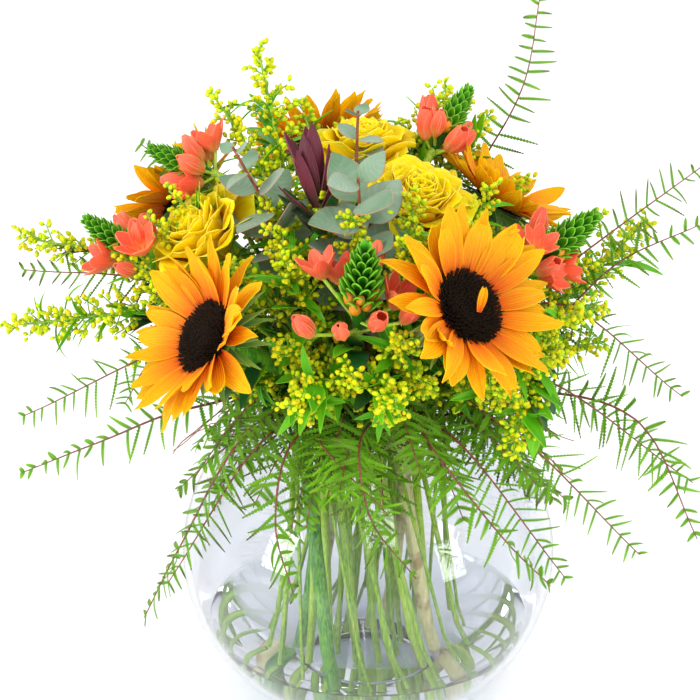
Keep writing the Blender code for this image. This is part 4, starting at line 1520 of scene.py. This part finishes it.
@dataclass
class Eucalyptus:
    """One sprig: pairs of grey leaves with thin red margins on a red-brown stem."""

    plant: str
    kit: Kit
    seed: int
    spacing: float = 0.0150
    bare: float = 0.060
    first_leaf: float = 0.42
    leaf_growth: float = 0.20
    largest_leaf: float = 1.22

    def build(self) -> None:
        """Build the sprig along the stem that the frame gives."""
        rng = np.random.default_rng(self.seed)
        path = self.path()
        reach, low = lengths_along(path)[-1], Stalk.read(self.plant).low_part
        made = Gathering(f"{self.plant}_leaves")
        for i in range(max(4, int((reach - low - self.bare) / self.spacing))):
            spot, way = at_length(path, reach - i * self.spacing - 0.003)
            size = min(self.largest_leaf, self.first_leaf + self.leaf_growth * i) * rng.uniform(0.9, 1.08)
            for side in (0.0, math.pi):
                out = around(way, side + i * math.pi / 2 + rng.uniform(-0.35, 0.35) + 0.5)
                made.set(self.kit.round_leaf, spot + out * 0.0015, out + way * rng.uniform(0.15, 0.7),
                         way - out * 0.2, size, rng.uniform(0, 1), 1, curl=rng.normal(0.1, 0.25),
                         twist=rng.normal(0, 0.2))
        widths = np.interp(lengths_along(path), (0, reach), (0.0018, 0.0009))
        start = int(np.argmax(lengths_along(path) > low))
        made.stalks([(path[:start + 1], widths[:start + 1])], 8, finish=2)
        made.stalks([(path[start:], widths[start:])], 8)
        made.piece([RED_STEM, GREY_LEAF, THIN_STEM], Slot.EUCALYPTUS, self.plant)

    def path(self) -> np.ndarray:
        """The sprig's line: ring by ring up to its first leaf, and a smooth curve on to its tip."""
        stalk = Stalk.read(self.plant)
        plain = int(np.argmax(stalk.radii > 1.2 * stalk.radii[1]))
        lower = stalk.points[:plain]
        above = stalk.cloud[stalk.cloud[:, 2] > collar()[2]]
        far = above[np.argmax(np.linalg.norm(above - collar(), axis=1))]
        gap = np.linalg.norm(far - lower[-1])
        first = unit(lower[-1] - lower[-2]) * gap
        last = unit(far - lower[-1]) * gap
        upper = hermite(lower[-1], first, far, last, np.linspace(0, 1, 9)[1:, None])
        return smoothed(np.vstack([lower, upper]))


@dataclass
class Leucadendron:
    """Upright wine-red bracts closed round a stem."""

    kit: Kit
    plant: str = "leucadendron"
    seed: int = 61
    bracts: int = 17
    green_bracts: int = 5
    head_length: float = 0.070
    bract_rise: float = 0.034

    def build(self) -> None:
        """Build the head and its stem."""
        rng = np.random.default_rng(self.seed)
        path = smoothed(Stalk.read(self.plant).points)
        reach = lengths_along(path)[-1]
        made = Gathering("leucadendron_head")
        for i in range(self.bracts):
            share = i / (self.bracts - 1)
            spot, way = at_length(path, reach - self.head_length + self.bract_rise * share)
            out = around(way, i * GOLDEN_ANGLE)
            lean = 0.95 - 0.66 * share + rng.normal(0, 0.12)
            made.set(self.kit.wine_leaf, spot + out * 0.002, leaned(way, out, lean), -out,
                     rng.uniform(0.72, 0.92), rng.uniform(0, 1), 2 if i < self.green_bracts else 1,
                     curl=rng.normal(0.45, 0.15), twist=rng.normal(0, 0.15))
        made.stalks([(path[:-6], np.full(len(path) - 6, 0.0024))], 8)
        made.piece([THIN_STEM, WINE_LEAF, DARK_LEAF], Slot.LEUCADENDRON, self.plant)


# ---------------------------------------------------------------- ferns and fill

@dataclass
class Frond:
    """A coral fern frond: a wiry rachis with a row of saw-edged leaflets on each side."""

    kit: Kit
    leaflet: float = 0.024
    spacing: float = 0.0075
    breadth: float = 0.9
    missing: float = 0.05

    def add_to(self, made: Gathering, path: np.ndarray, facing: np.ndarray, rng: np.random.Generator,
               shade: float, radius: float = 0.0008) -> None:
        """Add the frond along a path.

        Args:
            made: the piece that it is added to.
            path: the rachis.
            facing: where the frond's flat side looks.
            rng: the piece's own random draws.
            shade: how dark its leaflets are, from 0 to 1.
            radius: of the rachis at its foot.
        """
        reach = lengths_along(path)[-1]
        made.stalks([(path, np.interp(lengths_along(path), (0, reach), (radius, 0.00035)))], 6, finish=1)
        for mark in np.arange(0.0, reach, self.spacing):
            size = self.leaflet / 0.030 * math.sin(math.pi * (0.22 + 0.70 * mark / reach))
            for side in (-1.0, 1.0):
                if rng.uniform() < self.missing:
                    continue
                spot, way = at_length(path, min(mark + self.spacing * rng.uniform(0, 0.5), reach))
                out = side * unit(np.cross(way, facing))
                made.set(self.kit.leaflet, spot,
                         out + way * rng.uniform(0.15, 0.65) - UP * rng.uniform(0, 0.35),
                         facing + out * rng.normal(0, 0.35),
                         (self.breadth * rng.uniform(0.75, 1.1), size * rng.uniform(0.6, 1.15), 1.0),
                         float(np.clip(shade + rng.normal(0, 0.16), 0, 1)), 0,
                         curl=rng.normal(-0.25, 0.4), twist=rng.normal(0, 0.4))


@dataclass
class CadFern:
    """A frond that stands for a CAD node."""

    plant: str
    frond: Frond
    seed: int

    def build(self) -> None:
        """Build the frond along its node's stem, which is green and bare in the bowl."""
        rng = np.random.default_rng(self.seed)
        stalk = Stalk.read(self.plant)
        path = smoothed(stalk.points)
        away = np.linalg.norm(stalk.cloud - collar(), axis=1)
        leafy = stalk.cloud[(away > 0.09) & (stalk.cloud[:, 2] > collar()[2] - 0.12)]
        flat = np.linalg.svd(leafy - leafy.mean(0))[2][2]
        flat = flat if flat @ (stalk.points[-1] - collar() + UP * 0.1) > 0 else -flat
        start = int(np.argmax(lengths_along(path) > stalk.low_part + 0.022))
        made = Gathering(f"{self.plant}_frond")
        made.stalks([(path[:start + 1], np.full(start + 1, 0.0012))], 6, finish=2)
        self.frond.add_to(made, path[start:], flat, rng, float(rng.uniform(0.1, 0.6)), 0.0011)
        made.piece([FERN, FILAMENT, THIN_STEM], Slot.FERN, self.plant)


WISPS = (
    ((-0.095, -0.030, 0.055), (-0.208, -0.050, 0.018), 0.35),
    ((-0.125, 0.004, 0.075), (-0.212, 0.000, 0.094), 0.9),
    ((-0.070, 0.020, 0.105), (-0.140, 0.030, 0.165), 0.5),
    ((0.100, -0.030, 0.030), (0.196, -0.060, -0.022), 0.3),
    ((0.120, 0.010, 0.085), (0.206, 0.010, 0.160), 0.7),
    ((0.110, -0.010, 0.070), (0.192, -0.030, 0.022), 0.6),
    ((0.080, -0.060, 0.010), (0.160, -0.096, -0.052), 0.2),
    ((0.050, -0.080, 0.010), (0.112, -0.128, -0.050), 0.3),
    ((-0.030, -0.085, 0.012), (0.010, -0.142, -0.004), 0.0),
    ((-0.062, -0.080, 0.010), (-0.118, -0.116, -0.060), 0.9),
    ((0.060, 0.080, 0.040), (0.130, 0.130, 0.020), 0.4),
    ((-0.060, 0.080, 0.040), (-0.110, 0.140, 0.010), 0.4),
)


SPIRES = (
    (-0.096, 0.030, 0.197), (-0.043, 0.060, 0.186), (-0.081, 0.020, 0.178), (-0.112, 0.020, 0.161),
    (-0.120, -0.010, 0.147), (0.045, 0.060, 0.185), (0.062, 0.080, 0.184), (0.077, 0.090, 0.169),
    (-0.018, 0.070, 0.167), (0.017, 0.070, 0.169), (0.102, 0.060, 0.137), (-0.131, -0.020, 0.132),
    (0.144, 0.030, 0.120), (-0.148, -0.030, 0.113),
)


@dataclass
class Fill:
    """The loose greenery that closes the bunch: sprigs, short fronds, slim leaves and dry twigs."""

    kit: Kit
    seed: int = 97
    sprigs: int = 96
    fronds: int = 54
    leaves: int = 320
    twigs: int = 10
    dome: tuple[float, float, float] = (0.140, 0.126, 0.116)
    dome_rise: float = 0.054
    sprigs_a_piece: int = 12
    skirt_pieces: int = 3

    def build(self) -> None:
        """Build the sprigs, the fronds, the leaves and the twigs."""
        rng = np.random.default_rng(self.seed)
        self.build_sprigs(rng)
        self.build_fronds(rng)
        self.build_wisps(rng)
        self.build_leaves(rng)
        self.build_twigs(rng)

    def heads(self) -> list[tuple[np.ndarray, float]]:
        """Middles of the heads, with how much room each one needs."""
        room = {"_rays": 0.044, "_bloom": 0.032, "_raceme": 0.034}
        found = []
        for name in sorted(frame["nodes"]):
            for ending, radius in room.items():
                if name.endswith(ending):
                    low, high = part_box(name)
                    found.append(((np.array(low) + np.array(high)) / 2, radius))
        return found

    def build_sprigs(self, rng: np.random.Generator) -> None:
        """Spread short goldenrod sprigs over the dome, wherever no head is in the way.

        Args:
            rng: the piece's own random draws.
        """
        heads, made, sprays = self.heads(), None, 0
        for i in range(self.sprigs):
            height = 1.0 - 1.12 * (i + 0.5) / self.sprigs
            way = level_way(i * GOLDEN_ANGLE) * math.sqrt(1.0 - height**2) + UP * height
            tip = collar() + UP * self.dome_rise + way * self.dome * rng.uniform(0.88, 1.08)
            foot = collar() + way * (0.03, 0.03, 0.0) + UP * 0.004
            path = self.rise(foot, tip, way + UP * 0.25)
            if any(np.linalg.norm(path[-9:] - middle, axis=1).min() < radius for middle, radius in heads):
                continue
            if sprays % self.sprigs_a_piece == 0:
                made = self.close_sprigs(made)
            sprig = Goldenrod(f"fill_{i}", self.kit, i, twigs=15, leaves=9, plume=0.062, reach_out=0.015)
            sprig.add_to(made, path, rng)
            sprays += 1
        made = self.close_sprigs(made)
        for i, tip in enumerate(SPIRES):
            tip = np.array(tip)
            path = self.rise(collar() + tip * (0.3, 0.3, 0.1), collar() + tip, tip * (1, 1, 0) + UP * 0.12)
            spire = Goldenrod(f"spire_{i}", self.kit, i, twigs=14, leaves=10, plume=0.066, reach_out=0.011)
            spire.add_to(made, path, rng)
        self.close_sprigs(made)

    @staticmethod
    def close_sprigs(made: Gathering | None) -> Gathering:
        """Finish one gathering of sprigs and start the next."""
        if made and made.points:
            made.piece([THIN_STEM, GOLD_BUD, GOLD_LEAF], Slot.GOLDENROD)
        number = sum(piece.name.startswith("goldenrod_sprigs") for piece in bpy.data.objects)
        return Gathering(f"goldenrod_sprigs_{number + 1}")

    @staticmethod
    def rise(foot: np.ndarray, tip: np.ndarray, way: np.ndarray) -> np.ndarray:
        """A stem's curve from the collar, first upwards and then out to its tip."""
        gap = np.linalg.norm(tip - foot)
        share = np.linspace(0, 1, 14)[:, None]
        return hermite(foot, unit(tip - foot + UP * gap * 0.8) * gap, tip, unit(way) * gap, share)

    def build_fronds(self, rng: np.random.Generator) -> None:
        """Hang short fronds all round, just under the heads.

        Args:
            rng: the piece's own random draws.
        """
        for part in range(self.skirt_pieces):
            made = Gathering(f"fern_skirt_{part + 1}")
            for i in range(part, self.fronds, self.skirt_pieces):
                turn = i * GOLDEN_ANGLE
                out = level_way(turn)
                start = collar() + out * rng.uniform(0.020, 0.042) + UP * rng.uniform(0.002, 0.045)
                path = arc(start, out + UP * rng.uniform(-0.2, 0.35), rng.uniform(0.060, 0.100),
                           rng.uniform(0.010, 0.070), 10)
                frond = Frond(self.kit, leaflet=rng.uniform(0.022, 0.036), spacing=0.0064)
                frond.add_to(made, path, UP + out * 0.5, rng, rng.uniform(0, 0.8))
            made.piece([FERN, FILAMENT], Slot.FERN)

    def build_wisps(self, rng: np.random.Generator) -> None:
        """Send a few long thin fronds out from between the heads.

        Args:
            rng: the piece's own random draws.
        """
        made = Gathering("fern_wisps")
        frond = Frond(self.kit, leaflet=0.026, spacing=0.0070, breadth=0.55)
        facing = UP * 0.8 - np.array((0, 0.6, 0))
        for middle, end, shade in WISPS:
            foot = collar() + np.array(middle) * (0.3, 0.3, 0.2)
            path = collar() + np.array([foot - collar(), np.array(middle) + UP * 0.006, end])
            frond.add_to(made, smoothed(path, 9)[5:], facing, rng, shade)
        made.piece([FERN, FILAMENT], Slot.FERN)

    def build_leaves(self, rng: np.random.Generator) -> None:
        """Put leaves on the stems between the collar and the heads.

        Args:
            rng: the piece's own random draws.
        """
        made = Gathering("inner_leaves")
        names = [name for name in frame["nodes"] if name.endswith("_stem") or name.startswith("goldenrod_")]
        stalks, heads = [Stalk.read(name) for name in sorted(names)], self.heads()
        for i in range(self.leaves):
            stalk = stalks[i % len(stalks)]
            above = lengths_along(stalk.points)[-1] - stalk.low_part
            spot, way = at_length(stalk.points, stalk.low_part + above * rng.uniform(0.1, 0.82))
            out = unit((spot - collar()) * (1, 1, 0.3) + rng.normal(0, 0.03, 3))
            if any(np.linalg.norm(spot + out * 0.02 - middle) < radius for middle, radius in heads):
                continue
            made.set(self.kit.lance, spot, out + way * rng.uniform(0.2, 1.0), UP + out * 0.3,
                     (rng.uniform(1.1, 2.4), rng.uniform(1.0, 1.7), 1.0), rng.uniform(0, 1),
                     int(rng.uniform() < 0.62), curl=rng.normal(-0.5, 0.4), twist=rng.normal(0, 0.4))
        made.piece([DARK_LEAF, GOLD_LEAF], Slot.GOLDENROD)

    def build_twigs(self, rng: np.random.Generator) -> None:
        """Let a few dry twigs arch out under the heads.

        Args:
            rng: the piece's own random draws.
        """
        made = Gathering("dry_twigs")
        lines = []
        for i in range(self.twigs):
            turn = i * GOLDEN_ANGLE * 1.3
            out = level_way(turn)
            side = np.cross(UP, out) * rng.uniform(-0.03, 0.03)
            path = arc(collar() + out * 0.035, out + UP * rng.uniform(0.0, 0.9), rng.uniform(0.07, 0.10),
                       rng.uniform(0.02, 0.09), 14)
            path += side * np.sin(np.linspace(0, 5.0, 14))[:, None] + rng.normal(0, 0.0007, (14, 3))
            lines.append((smoothed(path, 2), np.linspace(0.0006, 0.0003, 27)))
        made.stalks(lines, 6)
        made.piece([RED_STEM], Slot.FERN)


# ---------------------------------------------------------------- studio

@dataclass
class Studio:
    """The pale floor, the soft lights and the camera."""

    camera_at: tuple[float, float, float] = (-0.0117, -1.0744, 0.6551)
    look_down: float = 21.0
    lens: float = 94.9
    floor_half: float = 14.0
    lamps: tuple[tuple[str, tuple[float, float, float], float, float], ...] = (
        ("key", (-2.6, -1.6, 1.1), 1.4, 58.0), ("fill", (2.4, -1.9, 0.9), 1.2, 26.0),
        ("front", (0.3, -2.0, 2.1), 1.2, 16.0), ("back", (0.4, 1.7, 1.9), 1.2, 14.0))
    lamps_aim: tuple[float, float, float] = (0.0, 0.0, 0.25)

    def build(self) -> None:
        """Set up the floor, lights, sky and camera."""
        self.build_floor()
        self.build_lights()
        self.build_camera()

    def build_floor(self) -> None:
        """Lay the floor just under the bowl's foot."""
        blank = Blank(bpy.ops.mesh.primitive_plane_add, size=2 * self.floor_half, location=(0, 0, -FLOOR_GAP))
        bpy.ops.object.mode_set(mode="OBJECT")
        floor = blank.piece
        floor.name = "studio_floor"
        floor.data.materials.append(FloorFinish("studio_floor").material())

    def build_lights(self) -> None:
        """A large lamp from the left, softer ones from the right, the front and the back, and a pale sky."""
        world = bpy.data.worlds.new("pale_room")
        bpy.context.scene.world = world
        world.use_nodes = True
        backdrop = world.node_tree.nodes["Background"]
        backdrop.inputs[0].default_value = (1.0, 1.0, 1.0, 1.0)
        backdrop.inputs[1].default_value = 1.0
        for name, place, size, power in self.lamps:
            lamp = bpy.data.lights.new(name, "AREA")
            lamp.shape = "RECTANGLE"
            lamp.size, lamp.size_y = size * 0.7, size
            lamp.energy = power
            made = bpy.data.objects.new(name, lamp)
            made.location = place
            way = np.array(self.lamps_aim) - np.array(place)
            made.rotation_euler = Vector(way).to_track_quat("-Z", "Y").to_euler()
            bpy.context.scene.collection.objects.link(made)
        bpy.context.scene.view_settings.view_transform = "Standard"

    def build_camera(self) -> None:
        """Put the camera in front, a little above the heads."""
        data = bpy.data.cameras.new("camera")
        data.lens = self.lens
        camera = bpy.data.objects.new("camera", data)
        camera.location = self.camera_at
        camera.rotation_euler = (math.radians(90.0 - self.look_down), 0.0, 0.0)
        bpy.context.scene.collection.objects.link(camera)
        bpy.context.scene.camera = camera


def plants(kind: str) -> list[str]:
    """The CAD nodes of one kind of plant, by name."""
    return sorted(name for name in frame["nodes"] if name.startswith(f"{kind}_"))


def main() -> None:
    """Build every sub-assembly in order and report it."""
    logging.basicConfig(level=logging.INFO, format="%(name)s: %(message)s")
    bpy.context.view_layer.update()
    Studio().build()
    kit = Kit().model()
    Bowl().build()
    sunflowers = {"left": THICK_STEM, "right": STRAW_STEM, "back_right": STRAW_STEM, "back_left": THICK_STEM,
                  "back": STRAW_STEM}
    for seed, (place, stem) in enumerate(sunflowers.items(), FIRST_SEED["sunflower"]):
        Sunflower(f"sunflower_{place}", kit, seed, stem, loose=place == "right").build()
    for seed, place in enumerate(("left", "right", "back"), FIRST_SEED["rose"]):
        Rose(f"rose_{place}", kit, seed).build()
    racemes = {"centre": 1.35, "right": 1.0, "left": 1.0, "back_left": 1.0, "back_right": 1.0}
    for seed, (place, spread) in enumerate(racemes.items(), FIRST_SEED["ornithogalum"]):
        Ornithogalum(f"ornithogalum_{place}", kit, seed, spread=spread).build()
    for seed, node in enumerate(plants("goldenrod"), FIRST_SEED["goldenrod"]):
        Goldenrod(node, kit, seed).build()
    for seed, node in enumerate(plants("eucalyptus"), FIRST_SEED["eucalyptus"]):
        Eucalyptus(node, kit, seed, first_leaf=0.85 if node.endswith("front") else 0.42).build()
    Leucadendron(kit).build()
    for seed, node in enumerate(plants("fern"), FIRST_SEED["fern"]):
        CadFern(node, Frond(kit, leaflet=0.027, spacing=0.0078, breadth=0.78), seed).build()
    Fill(kit).build()


if __name__ == "__main__":
    main()
